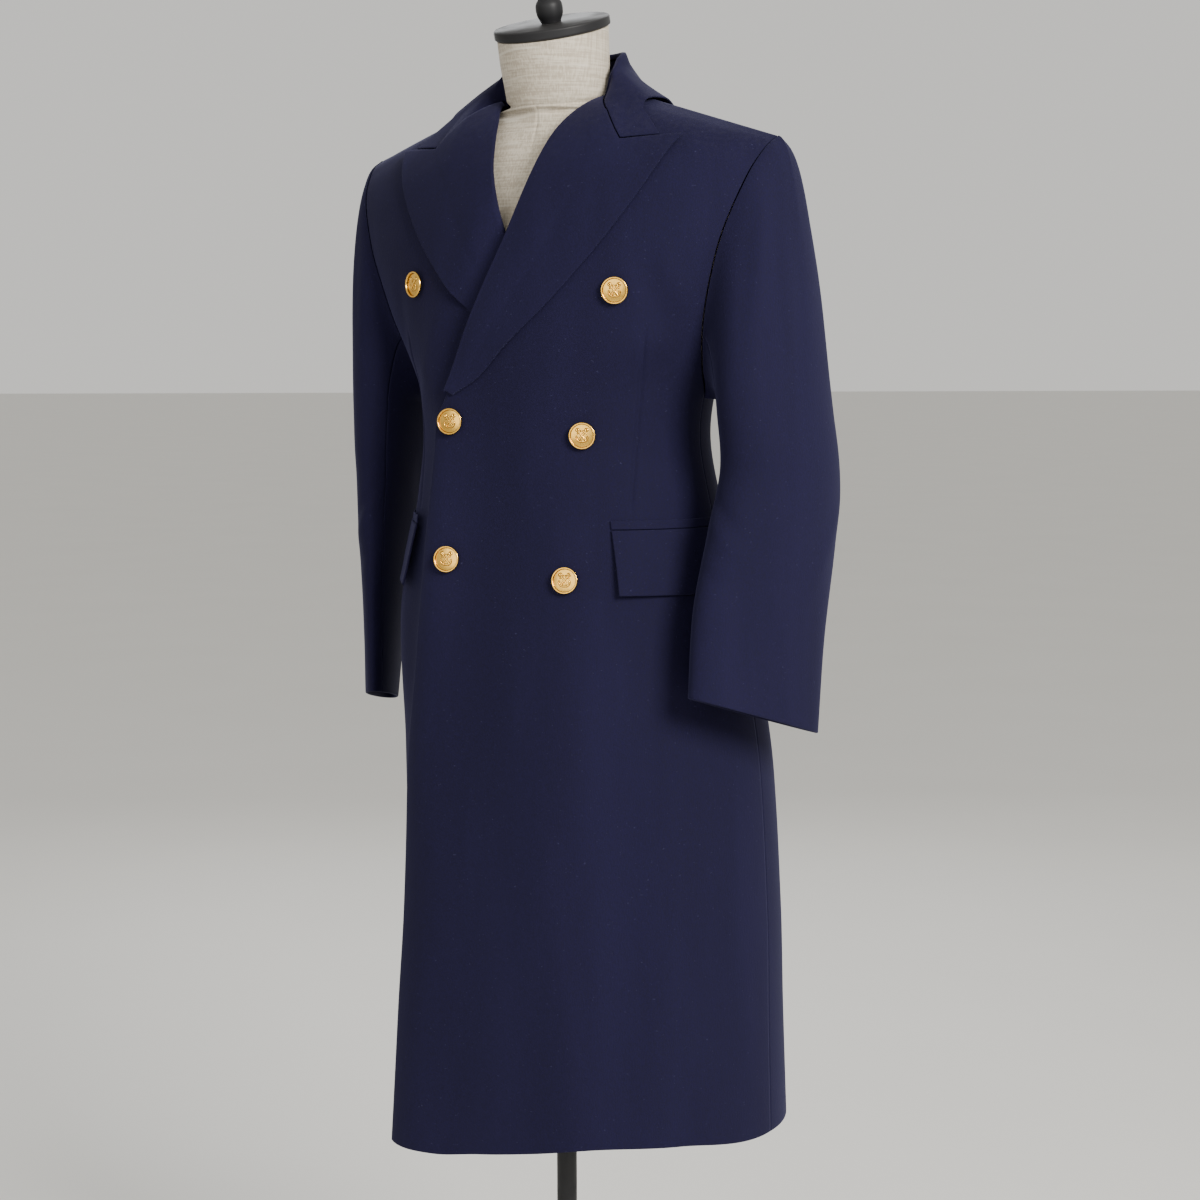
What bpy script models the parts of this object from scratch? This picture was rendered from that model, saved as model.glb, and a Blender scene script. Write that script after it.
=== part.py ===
"""Double-breasted wool overcoat on a limbless dress form with its stand.

Frame: millimetres in the tables, metres in the meshes. +Z is up, the front
faces -Y and the wearer's left is +X. The origin is the centre of the stand's
underside. Each cloth piece is a closed wall between two grids of points.
"""

import math

import bpy
import numpy as np

# ---- sizes in mm -------------------------------------------------------------
CLOTH = 2.4             # wall of the fronts, backs and sleeves
TURNED = 2.0            # wall of the lapels and flaps
LEAF = 1.6              # wall of the collar and its stand
WELT = 1.4              # wall of the pocket welts
GAP = 0.35              # clearance from piece to piece
UNDERARM = 1195.0       # height of the armhole's lowest point
NECK_HEIGHT = 1480.0    # height of the shoulder seam at the neck
NECK_HALF = 75.0        # half width of the neckline
LEFT_DROP = 0.31        # fall of the left shoulder seam per mm outward
RIGHT_DROP = 0.35       # the same for the right shoulder
OVERLAP_DROP = 7.6      # how far the right front lies under the left one
SEAM_HALF = 0.2         # half of the gap at the side, shoulder and back seams
SLEEVE_SEAM = 0.25      # half of the gap at the sleeve seams, degrees
BUTTON_DIAMETER = 25.0
POLE_DIAMETER = 20.0
BASE_DIAMETER = 340.0
BASE_THICKNESS = 14.0
# the right front falls along this slanting plane
SLANT = np.array((0.866, 0.5, 0.0))   # direction across that slanting plane
SLANT_SOFT = 4.0        # how softly the cloth turns onto it
PROUD_X = -80.0         # where the overlap stands forward most
PROUD_WIDTH = 40.0
CAP_TILT = 16.5         # lean of the neck cap toward the front, degrees

# ---- finishes ----------------------------------------------------------------
WOOL = ("wool_navy", (0.020, 0.020, 0.060), 0.0, 0.85)
LINEN = ("linen_cream", (0.72, 0.66, 0.56), 0.0, 0.90)
BLACK_WOOD = ("wood_black", (0.02, 0.02, 0.02), 0.0, 0.45)
BLACK_METAL = ("metal_black", (0.03, 0.03, 0.03), 0.6, 0.45)
GILT = ("metal_gilt", (0.83, 0.60, 0.22), 1.0, 0.30)

# ---- the coat's body, from the hem to the shoulder seam ------------------------
# height: up the neck's side; left, right: reach of the side edge; angle: how far
# round the edge lies; side, front, back: y there; square: how square the front is;
# flat: distance of the slanting plane along which the right front falls;
# proud: how far the overlap stands forward near the left front's edge
BODY_COLUMNS = (
    "height", "left", "right", "angle", "side", "front", "back", "square", "flat", "proud"
)
BODY = (
    (492.0, 224.0, 190.0, 90.0, 5.0, -163.0, 189.0, 3.0, 171.0, 9.0),
    (600.0, 218.0, 187.0, 90.0, 12.0, -153.0, 185.0, 2.8, 166.0, 8.0),
    (706.0, 213.0, 182.0, 90.0, 18.0, -146.0, 182.0, 2.5, 161.0, 8.0),
    (800.0, 208.0, 180.0, 90.0, 18.0, -141.0, 177.0, 2.5, 157.0, 10.0),
    (859.0, 203.0, 182.0, 90.0, 18.0, -138.0, 172.0, 2.4, 157.0, 12.0),
    (960.0, 187.0, 183.0, 90.0, 14.0, -127.0, 156.0, 2.2, 162.0, 17.0),
    (1037.0, 172.0, 170.0, 90.0, 10.0, -116.0, 139.0, 2.0, 168.0, 23.0),
    (1100.0, 155.0, 155.0, 90.0, 8.0, -108.0, 126.0, 2.0, 170.0, 25.0),
    (1162.0, 145.0, 145.0, 90.0, 7.0, -104.0, 120.0, 2.0, 180.0, 25.0),
    (1195.0, 149.0, 149.0, 90.0, 7.0, -106.0, 121.0, 2.0, 190.0, 20.0),
    (1225.0, 158.0, 158.0, 79.0, 8.0, -108.0, 123.0, 2.0, 200.0, 13.0),
    (1265.0, 168.0, 168.0, 69.0, 9.0, -111.0, 126.0, 2.0, 210.0, 5.0),
    (1320.0, 181.0, 181.0, 63.0, 10.0, -109.0, 127.0, 2.0, 220.0, 0.0),
    (1375.0, 195.0, 195.0, 60.0, 12.0, -99.0, 122.0, 2.0, 230.0, 0.0),
    (1420.0, 208.0, 206.0, 60.0, 13.0, -82.0, 108.0, 2.0, 240.0, 0.0),
    (1454.0, 216.0, 213.0, 62.0, 14.0, -54.0, 84.0, 2.0, 250.0, 0.0),
    (1472.0, 220.0, 217.0, 66.0, 14.0, -24.0, 52.0, 2.0, 250.0, 0.0),
    (1480.0, 221.0, 218.0, 70.0, 14.0, 8.0, 8.0, 2.0, 250.0, 0.0),
)
# the left front's edge, and above the break its roll line; the right one mirrors it
EDGE_COLUMNS = ("height", "edge")
EDGE = (
    (492.0, -107.0),
    (706.0, -104.0),
    (842.0, -98.0),
    (945.0, -87.0),
    (1039.0, -83.0),
    (1150.0, -75.0),
    (1178.0, -72.0),
    (1192.0, -65.0),
    (1264.0, -35.0),
    (1343.0, 4.0),
    (1401.0, 24.0),
    (1454.0, 42.0),
    (1470.0, 54.0),
    (1480.0, 64.0),
)
# rise of the hem over x on the front
HEM_COLUMNS = ("x", "rise")
HEM = (
    (-224.0, 0.0), (-150.0, -4.0), (-100.0, -10.0), (-50.0, -11.0), (0.0, -4.0),
    (60.0, 5.0), (120.0, 13.0), (180.0, 14.0), (224.0, 6.0),
)
HEM_HEIGHT = 492.0

# ---- sleeves, from the upper arm to the cuff -----------------------------------
# x, y, z: middle of the section; long, short: its half sizes; turn: how far the
# back edge swings outward; dip: how much lower the back edge is, per mm
SLEEVE_COLUMNS = ("x", "y", "z", "long", "short", "turn", "dip")
SLEEVE_LEFT = (
    (219.0, 16.0, 1188.0, 75.0, 41.0, 8.0, 0.00),
    (224.0, 18.0, 1130.0, 74.0, 42.0, 11.0, 0.08),
    (222.5, 4.0, 1065.0, 77.0, 39.0, 16.0, 0.16),
    (221.0, -18.0, 990.0, 76.0, 33.0, 22.0, 0.24),
    (224.0, -36.0, 905.0, 72.0, 27.0, 27.0, 0.31),
)
SLEEVE_RIGHT = (
    (206.0, 18.0, 1188.0, 76.0, 34.0, 8.0, 0.00),
    (213.0, 20.0, 1125.0, 76.0, 29.0, 12.0, 0.06),
    (214.0, 10.0, 1055.0, 76.0, 23.0, 18.0, 0.12),
    (214.0, 0.0, 975.0, 75.0, 17.0, 24.0, 0.16),
    (213.0, -9.0, 889.0, 72.0, 14.0, 28.0, 0.20),
)

# ---- lapels: the outer edge against the level of the roll line -------------------
LAPEL_COLUMNS = ("roll", "x", "height")
LAPEL = (
    (1200.0, -56.0, 1197.0),
    (1225.0, -30.0, 1213.0),
    (1264.0, 2.0, 1243.0),
    (1310.0, 45.0, 1281.0),
    (1355.0, 80.0, 1319.0),
    (1401.0, 109.0, 1362.0),
    (1440.0, 133.0, 1408.0),
    (1474.0, 151.0, 1455.0),
)
LAPEL_TOP = 1473.6      # level of the roll line where the lapel ends
CORNER_SHARE = 0.45     # where the gorge seam meets the lapel's top edge
CORNER_DIP = 29.0       # how far that corner lies under a straight top edge
COLLAR_SHARE = 0.80     # how far along the lapel's top edge the collar reaches

# ---- collar: from the centre back to the gorge -----------------------------------
# stand: foot of the band; roll: its top; fall: the outer edge, on the body's surface
COLLAR_COLUMNS = (
    "share", "stand_x", "stand_y", "stand_z", "roll_x", "roll_y", "roll_z",
    "fall_x", "fall_height", "fall_face"
)
COLLAR = (
    (0.00, 0.0, 61.0, 1470.0, 0.0, 53.0, 1522.0, 0.0, 1453.0, -1.0),
    (0.22, 38.0, 53.0, 1471.0, 33.0, 46.0, 1522.0, 52.0, 1454.0, -1.0),
    (0.44, 64.0, 31.0, 1475.0, 53.0, 26.0, 1520.0, 83.0, 1460.0, -1.0),
    (0.62, 71.0, 10.0, 1480.0, 58.5, 6.0, 1512.0, 97.0, 1477.0, -1.0),
    (0.80, 70.0, -8.0, 1479.0, 61.0, -12.0, 1497.0, 105.0, 1467.0, 1.0),
)

# ---- pocket flaps and welts, as places on the body's surface -----------------------
FLAP_FRONT_TOP = (101.0, 1075.0)
FLAP_FRONT_LOW = (112.0, 1015.0)
FLAP_BACK_TURN = 86.0   # degrees round the side where the flap ends
WELT_HEIGHT = 8.0

# ---- buttons: x and level on the fronts ---------------------------------------------
BUTTONS = (
    ("button_top_left", 108.4, 1298.0),
    ("button_top_right", -107.8, 1307.0),
    ("button_middle_left", 73.1, 1162.0),
    ("button_middle_right", -55.9, 1174.0),
    ("button_low_left", 65.5, 1029.0),
    ("button_low_right", -54.0, 1045.0),
)
# share of the radius and distance from the cloth, round the button's turned outline
BUTTON_PROFILE = (
    (0.30, 0.0),
    (0.30, 1.6),
    (0.94, 2.2),
    (1.00, 3.4),
    (0.94, 4.6),
    (0.84, 4.4),
    (0.50, 5.0),
    (0.20, 5.3),
)

# ---- the dress form ------------------------------------------------------------
# height: middle of the ring; half: half width; front, back: y; lean: rise per mm;
# power: 2 for a round ring, less for one drawn out to points along the shoulders
FORM = (
    (745.0, 150.0, -98.0, 118.0, 0.0, 2.0),
    (750.0, 158.0, -104.0, 124.0, 0.0, 2.0),
    (860.0, 166.0, -110.0, 132.0, 0.0, 2.0),
    (960.0, 158.0, -106.0, 130.0, 0.0, 2.0),
    (1060.0, 144.0, -96.0, 116.0, 0.0, 2.0),
    (1150.0, 130.0, -86.0, 106.0, 0.0, 2.0),
    (1230.0, 142.0, -90.0, 108.0, 0.0, 2.0),
    (1310.0, 160.0, -90.0, 110.0, 0.0, 2.0),
    (1370.0, 172.0, -81.0, 102.0, 0.0, 2.0),
    (1408.0, 177.0, -66.0, 82.0, 0.0, 2.0),
    (1428.0, 170.0, -57.0, 66.0, 0.0, 1.9),
    (1440.0, 156.0, -52.0, 60.0, 0.0, 1.7),
    (1455.6, 136.0, -47.0, 56.0, 0.0, 1.35),
    (1462.5, 112.0, -47.0, 54.0, 0.0, 1.15),
    (1470.0, 53.0, -49.0, 42.0, 0.05, 1.9),
    (1478.0, 51.5, -51.0, 38.0, 0.09, 2.0),
    (1494.0, 52.0, -56.0, 36.0, 0.14, 2.0),
    (1516.0, 53.0, -63.0, 35.0, 0.22, 2.0),
    (1538.0, 53.0, -69.0, 35.0, 0.296, 2.0),
)
FORM_SWAY = 0.0143      # how much higher the left shoulder's ridge stands, per mm outward
NECK_TOP = (0.0, -17.0, 1538.0)     # middle of the neck's sloping top
# radius and distance up from the neck's top, along the lean
CAP_PROFILE = ((52.0, 0.35), (54.5, 1.2), (55.5, 3.0), (55.5, 8.5), (54.0, 10.0))
FINIAL_PROFILE = (
    (9.5, 10.35), (10.0, 12.0), (12.2, 17.0), (12.9, 22.5), (12.2, 28.0), (9.3, 32.5),
    (8.4, 35.0), (10.5, 38.0), (14.0, 44.0), (14.6, 50.0), (12.5, 57.0), (7.5, 62.5), (2.0, 65.0),
)
# radius and height of the stand's parts
POLE_PROFILE = ((10.0, 30.35), (10.0, 744.6))
BASE_PROFILE = (
    (168.0, 0.0), (170.0, 2.0), (170.0, 10.0), (166.0, 14.0), (40.0, 18.0), (22.0, 22.0), (20.0, 30.0)
)


# ---- tables and curves ---------------------------------------------------------
def column(table, names, name):
    """One named column of a table as an array."""
    return np.array([row[names.index(name)] for row in table], float)


def smooth(keys, values, at):
    """Value at a key, on a smooth curve through the table's points."""
    keys = np.asarray(keys, float)
    values = np.asarray(values, float)
    at = np.clip(np.asarray(at, float), keys[0], keys[-1])
    steps = np.diff(values) / np.diff(keys)
    slopes = np.concatenate(([steps[0]], (steps[1:] + steps[:-1]) / 2, [steps[-1]]))
    flat = steps[1:] * steps[:-1] <= 0
    slopes[1:-1][flat] = 0.0
    i = np.clip(np.searchsorted(keys, at, side="right") - 1, 0, len(keys) - 2)
    width = keys[i + 1] - keys[i]
    t = (at - keys[i]) / width
    rise = values[i] * (1 + 2 * t) * (1 - t) ** 2 + values[i + 1] * t**2 * (3 - 2 * t)
    bend = slopes[i] * width * t * (1 - t) ** 2 - slopes[i + 1] * width * t**2 * (1 - t)
    return rise + bend


def body_value(name, height):
    """A named size of the coat's body at a height."""
    return smooth(column(BODY, BODY_COLUMNS, "height"), column(BODY, BODY_COLUMNS, name), height)


def step_between(value, low, high):
    """0 below low, 1 above high and a soft change between."""
    t = np.clip((value - low) / (high - low), 0.0, 1.0)
    return t * t * (3 - 2 * t)


# ---- the coat's body surface -----------------------------------------------------
def shoulder_height(x):
    """Height of the shoulder seam over x."""
    drop = np.where(x >= 0, LEFT_DROP, RIGHT_DROP)
    return NECK_HEIGHT - drop * np.maximum(np.abs(x) - NECK_HALF, 0.0)


def lift_of(height, x):
    """True height of a body level over x: level below the armhole, sloped above."""
    share = (height - UNDERARM) / (NECK_HEIGHT - UNDERARM)
    sloped = UNDERARM + share * (shoulder_height(x) - UNDERARM)
    return np.where(height > UNDERARM, sloped, height)


def reach(height, x):
    """Half width of the body's full ellipse on the side where x lies."""
    edge = np.where(x >= 0, body_value("left", height), body_value("right", height))
    return edge / np.sin(np.radians(body_value("angle", height)))


def body_at_x(height, x, face):
    """Points on the body's surface; face is "front" or "back"."""
    height, x = np.broadcast_arrays(np.asarray(height, float), np.asarray(x, float))
    side = body_value("side", height)
    far = body_value(face, height)
    squared = (x < 0) & (face == "front")
    power = np.where(squared, body_value("square", height), 2.0)
    ratio = np.clip(np.abs(x) / reach(height, x), 0.0, 1.0)
    y = side + (far - side) * (1.0 - ratio**power) ** (1.0 / power)
    if face == "front":
        y = y - body_value("proud", height) * np.exp(-(((x - PROUD_X) / PROUD_WIDTH) ** 2))
    points = np.stack((x, y, lift_of(height, x)), -1)
    over = -(points @ SLANT) - body_value("flat", height)
    pressed = SLANT_SOFT * np.logaddexp(0.0, over / SLANT_SOFT)
    return points + pressed[..., None] * SLANT


def body_at_turn(height, turn, face):
    """Points on the body's surface at an angle from the centre line, degrees."""
    height, turn = np.broadcast_arrays(np.asarray(height, float), np.asarray(turn, float))
    x = reach(height, turn) * np.sin(np.radians(turn))
    return body_at_x(height, x, face)


def normals(grid):
    """Unit normals of a grid of points, right-handed in (column, row)."""
    down = np.gradient(grid, axis=0)
    across = np.gradient(grid, axis=1)
    n = np.cross(across, down)
    return n / np.linalg.norm(n, axis=-1, keepdims=True)


# ---- meshes ----------------------------------------------------------------------
def material(finish):
    """The named Principled material of a finish, made once."""
    name, colour, metallic, roughness = finish
    found = bpy.data.materials.get(name)
    if found:
        return found
    made = bpy.data.materials.new(name)
    made.use_nodes = True
    shader = made.node_tree.nodes["Principled BSDF"]
    shader.inputs["Base Color"].default_value = (*colour, 1.0)
    shader.inputs["Metallic"].default_value = metallic
    shader.inputs["Roughness"].default_value = roughness
    made.diffuse_color = (*colour, 1.0)
    return made


def add_mesh(name, points, faces, finish):
    """A named mesh object from points in mm."""
    mesh = bpy.data.meshes.new(name)
    mesh.from_pydata([tuple(p) for p in np.asarray(points) * 0.001], [], faces)
    mesh.materials.append(material(finish))
    mesh.update()
    made = bpy.data.objects.new(name, mesh)
    bpy.context.scene.collection.objects.link(made)
    return made


def wall(name, outer, inner, finish):
    """A closed wall between two grids of the same size."""
    rows, cols = outer.shape[:2]
    points = np.concatenate((outer.reshape(-1, 3), inner.reshape(-1, 3)))
    count = rows * cols
    faces = []

    def quad(a, b, c, d):
        faces.append((a, b, c))
        faces.append((a, c, d))

    for r in range(rows - 1):
        for c in range(cols - 1):
            a, b = r * cols + c, r * cols + c + 1
            d, e = a + cols, b + cols
            quad(a, b, e, d)
            quad(count + a, count + d, count + e, count + b)
    for r in range(rows - 1):
        for c, swap in ((0, False), (cols - 1, True)):
            a, d = r * cols + c, (r + 1) * cols + c
            if swap:
                a, d = d, a
            quad(a, d, count + d, count + a)
    for c in range(cols - 1):
        for r, swap in ((0, True), (rows - 1, False)):
            a, b = r * cols + c, r * cols + c + 1
            if swap:
                a, b = b, a
            quad(a, b, count + b, count + a)
    return add_mesh(name, points, faces, finish)


def sheet(name, outer, thickness, finish, away=None):
    """A wall of one thickness behind a grid; away is its unit normals."""
    away = normals(outer) if away is None else away
    return wall(name, outer, outer - away * thickness, finish)


def solid_of_rings(name, rings, finish):
    """A closed solid through closed rings of points, ends capped by fans."""
    rings = np.asarray(rings)
    count, around = rings.shape[:2]
    points = np.concatenate((rings.reshape(-1, 3), rings[:1].mean(1), rings[-1:].mean(1)))
    faces = []
    for r in range(count - 1):
        for c in range(around):
            a, b = r * around + c, r * around + (c + 1) % around
            faces.append((a, b, b + around))
            faces.append((a, b + around, a + around))
    low, high = count * around, count * around + 1
    top = (count - 1) * around
    for c in range(around):
        faces.append((low, (c + 1) % around, c))
        faces.append((high, top + c, top + (c + 1) % around))
    return add_mesh(name, points, faces, finish)


def turned(name, profile, centre, axis, around, finish):
    """A solid of revolution; profile rows are (radius, distance along the axis)."""
    axis = np.asarray(axis, float) / np.linalg.norm(axis)
    helper = np.array((0.0, 0.0, 1.0)) if abs(axis[2]) < 0.9 else np.array((1.0, 0.0, 0.0))
    first = np.cross(helper, axis)
    first /= np.linalg.norm(first)
    second = np.cross(axis, first)
    angles = np.linspace(0, 2 * math.pi, around, endpoint=False)
    circle = np.cos(angles)[:, None] * first + np.sin(angles)[:, None] * second
    rings = [np.asarray(centre) + r * circle + z * axis for r, z in profile]
    return solid_of_rings(name, rings, finish)


# ---- the coat's fronts and backs ---------------------------------------------------
def edge_x(height):
    """The left front's edge below the break and its roll line above."""
    return smooth(column(EDGE, EDGE_COLUMNS, "height"), column(EDGE, EDGE_COLUMNS, "edge"), height)


def panel_levels():
    """Levels of the body's rows, closer together over the chest and shoulder."""
    skirt = np.linspace(492.0, 1100.0, 9)
    waist = np.linspace(1132.0, UNDERARM, 3)
    chest = np.concatenate((np.linspace(1212.0, 1352.0, 8), (1382, 1412, 1434, 1452, 1465, 1474, 1480)))
    return np.concatenate((skirt, waist, chest))


def hem_lift(height, x):
    """The hem's slight rise and fall on the front, fading out above it."""
    fade = 1.0 - step_between(height, HEM_HEIGHT, 640.0)
    return fade * smooth(column(HEM, HEM_COLUMNS, "x"), column(HEM, HEM_COLUMNS, "rise"), x)


def seam_normals(line, side, along):
    """Outward unit normals of a seam line, square to it and to the Y axis."""
    run = np.gradient(line, axis=0)
    out = np.stack((run[:, 2], 0 * run[:, 0], -run[:, 0]), -1) * (side if along == "up" else -1.0)
    return out / np.linalg.norm(out, axis=-1, keepdims=True)


def joined(grid, away, side, levels, toward):
    """Match a panel to its neighbours at the side and shoulder seams, a gap apart."""
    below = levels <= UNDERARM
    away[below, -1] = seam_normals(grid[:, -1], side, "up")[below]
    met = np.abs(grid[-1, :, 0]) > NECK_HALF - 12.0
    away[-1, met] = (seam_normals(grid[-1], side, "out") * side)[met]
    grid[below, -1, 1] += toward * SEAM_HALF
    grid[-1, :, 1] += toward * SEAM_HALF
    return grid, away


def under_left(x, height):
    """How fully the left front covers a place on the right front, 0 to 1."""
    covered = step_between(x, edge_x(height) - 50.0, edge_x(height) - 14.0)
    return covered * (1.0 - step_between(height, 1332.0, 1412.0))


def front(side):
    """A front panel from its edge to the side seam, and up to the shoulder seam."""
    levels = panel_levels()
    height = levels[:, None] + np.zeros((1, 15))
    inner_x = side * edge_x(height)
    inner_turn = np.degrees(np.arcsin(np.clip(inner_x / reach(height, inner_x), -1, 1)))
    outer_turn = side * body_value("angle", height)
    turn = inner_turn + (outer_turn - inner_turn) * np.linspace(0, 1, 15)
    grid = body_at_turn(height, turn, "front")
    grid[..., 2] += hem_lift(height, grid[..., 0])
    away = normals(grid) * side
    grid, away = joined(grid, away, side, levels, -1.0)
    if side < 0:
        grid = grid - away * (OVERLAP_DROP * under_left(grid[..., 0], height))[..., None]
        grid, away = grid[:, ::-1], away[:, ::-1]
    sheet("front_left" if side > 0 else "front_right", grid, CLOTH, WOOL, away)


def neckline_level(x):
    """Level of the back's top edge over x: lower across the back of the neck."""
    inside = np.clip(1.0 - (x / NECK_HALF) ** 2, 0.0, 1.0)
    return NECK_HEIGHT - 13.0 * np.sqrt(inside)


def back(side):
    """A back panel from the centre seam to the side seam."""
    levels = panel_levels()
    height = levels[:, None] + np.zeros((1, 13))
    turn = side * body_value("angle", height) * np.linspace(0, 1, 13)
    x = reach(height, side + 0 * turn) * np.sin(np.radians(turn))
    scale = (neckline_level(x) - UNDERARM) / (NECK_HEIGHT - UNDERARM)
    height = np.where(height > UNDERARM, UNDERARM + (height - UNDERARM) * scale, height)
    grid = body_at_x(height, x, "back")
    grid[..., 2] += hem_lift(height, x[:, -1:]) * np.linspace(0, 1, 13) ** 2
    grid[..., 0] += side * SEAM_HALF * (np.arange(13) == 0)
    away = normals(grid) * -side
    away[:, 0, 0] = 0.0
    grid, away = joined(grid, away, side, levels, 1.0)
    if side > 0:
        grid, away = grid[:, ::-1], away[:, ::-1]
    sheet("back_left" if side > 0 else "back_right", grid, CLOTH, WOOL, away)


def surface_normal(x, height, face):
    """Unit outward normal of the body's surface."""
    step = 0.5
    across = body_at_x(height, x + step, face) - body_at_x(height, x - step, face)
    low, high = height - step, np.minimum(height + step, NECK_HEIGHT)
    up = body_at_x(high, x, face) - body_at_x(low, x, face)
    n = np.cross(across, up) * (1.0 if face == "front" else -1.0)
    return n / np.linalg.norm(n, axis=-1, keepdims=True)


def lifted(x, height, face, lift):
    """Points a distance off the body's surface."""
    x, height, lift = np.broadcast_arrays(
        np.asarray(x, float), np.asarray(height, float), np.asarray(lift, float)
    )
    return body_at_x(height, x, face) + surface_normal(x, height, face) * lift[..., None]


# ---- lapels and collar ---------------------------------------------------------------
def corner_hat(share):
    """1 at the lapel's corner share, falling straight to 0 at both ends."""
    return np.minimum(share / CORNER_SHARE, (1.0 - share) / (1.0 - CORNER_SHARE))


def lapel_place(roll, share):
    """x and level on the left lapel: share 0 is the roll line, 1 the outer edge."""
    start_x, start_h = edge_x(roll), roll
    key = column(LAPEL, LAPEL_COLUMNS, "roll")
    end_x = smooth(key, column(LAPEL, LAPEL_COLUMNS, "x"), roll)
    end_h = smooth(key, column(LAPEL, LAPEL_COLUMNS, "height"), roll)
    dip = CORNER_DIP * step_between(roll, 1395.0, LAPEL_TOP) * np.maximum(corner_hat(share), 0.0)
    return start_x + (end_x - start_x) * share, start_h + (end_h - start_h) * share - dip


LAPEL_SHARES = np.array((0.0, 0.08, 0.20, 0.32, CORNER_SHARE, 0.62, COLLAR_SHARE, 0.92, 1.0))
LAPEL_LIFT = 3.1        # how far the lapel's face stands off its front
# beyond: mm past the roll line; rise: mm off the front, where the lapel rolls over it
ROLL = ((3.5, -1.2), (3.8, 0.9), (2.4, 3.2))


def lapel(side):
    """A turned lapel, rolled over its front's edge and lying on the front."""
    rolls = panel_levels()
    rolls = np.concatenate(((1202.0,), rolls[(rolls > 1202.0) & (rolls < 1470.0)], (LAPEL_TOP,)))
    roll = rolls[:, None] + 0 * LAPEL_SHARES[None, :]
    share = LAPEL_SHARES[None, :] + 0 * rolls[:, None]
    x, height = lapel_place(roll, share)
    spring = 1.6 * np.sin(np.pi * np.clip(share / 0.5, 0, 1)) + 1.4 * share**2
    grown = step_between(roll, 1200.0, 1300.0)
    lift = LAPEL_LIFT + spring * grown + 0.8 * step_between(roll, 1425.0, 1460.0)
    if side < 0:
        covered = under_left(-x, height)
        lift = np.minimum(lift, LAPEL_LIFT + 6.0 * (1.0 - covered)) - OVERLAP_DROP * covered
        lift = lift + 6.0 * covered * (1.0 - covered)
    body = lifted(side * x, height, "front", lift)
    roll_x, roll_h = edge_x(rolls), rolls
    bends = []
    for beyond, rise in ROLL:
        base = -OVERLAP_DROP * under_left(-roll_x, roll_h) if side < 0 else 0.0 * roll_x
        rise_here = min(rise, 3.0) if side < 0 else rise
        bends.append(lifted(side * (roll_x - beyond), roll_h, "front", base + rise_here))
    grid = np.concatenate((np.stack(bends, 1), body), 1)
    if side < 0:
        grid = grid[:, ::-1]
    name = "lapel_left" if side > 0 else "lapel_right"
    return sheet(name, grid, TURNED, WOOL)


def collar_value(name, share):
    """A named size of the collar at a share of the way round, either side."""
    key = column(COLLAR, COLLAR_COLUMNS, "share")
    return smooth(key, column(COLLAR, COLLAR_COLUMNS, name), np.abs(share))


def fall_start(share):
    """Where the collar's front end lies: the lapel's top edge, a little above it."""
    x, height = lapel_place(np.full(np.shape(share), LAPEL_TOP), share * COLLAR_SHARE)
    return x, height + 4 * GAP


def collar_path(share, part):
    """Points of the collar's stand foot or roll round the neck, left side positive."""
    side = np.sign(share)
    x = collar_value(part + "_x", share) * side
    return np.stack((x, collar_value(part + "_y", share), collar_value(part + "_z", share)), -1)


def surface_at(x, height, face, lift):
    """A lifted point on the face with the sign -1 for the back, 1 for the front."""
    fore = lifted(x, height, "front", lift)
    aft = lifted(x, height, "back", lift)
    return np.where((face > 0)[..., None], fore, aft)


FALL_SHARES = np.array((0.18, 0.36, 0.5625, 0.78, 1.0))
# the leaf turning over at the neck, across and up from its roll, outer then inner face
COLLAR_BEND = (
    ((-2.6, -4.2), (-2.9, -1.0), (-1.2, 1.2), (1.6, 1.2)),
    ((-1.0, -4.2), (-1.3, -1.4), (-0.4, -0.3), (1.0, -0.5)),
)
# the same at its ends, beyond the roll line and off the front
COLLAR_END_BEND = (
    ((3.8, -2.6), (3.9, 0.4), (2.7, 3.0), (0.2, 4.3)),
    ((2.2, -2.6), (2.3, 0.0), (1.7, 1.5), (0.0, 2.7)),
)
COLLAR_LIFT = 4.2       # how far the collar's edge stands off the body


def collar_fall():
    """The collar's leaf: over its roll and down onto the shoulders and back."""
    half = np.concatenate((np.linspace(0.0, 0.80, 9), (0.86, 0.93, 1.0)))
    faces = []
    for inner in (0, 1):
        rows = [collar_section(share, -1.0, inner) for share in half[:0:-1]]
        rows += [collar_section(share, 1.0, inner) for share in half]
        faces.append(np.stack(rows)[:, ::-1])
    return wall("collar", *faces, WOOL)


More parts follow.
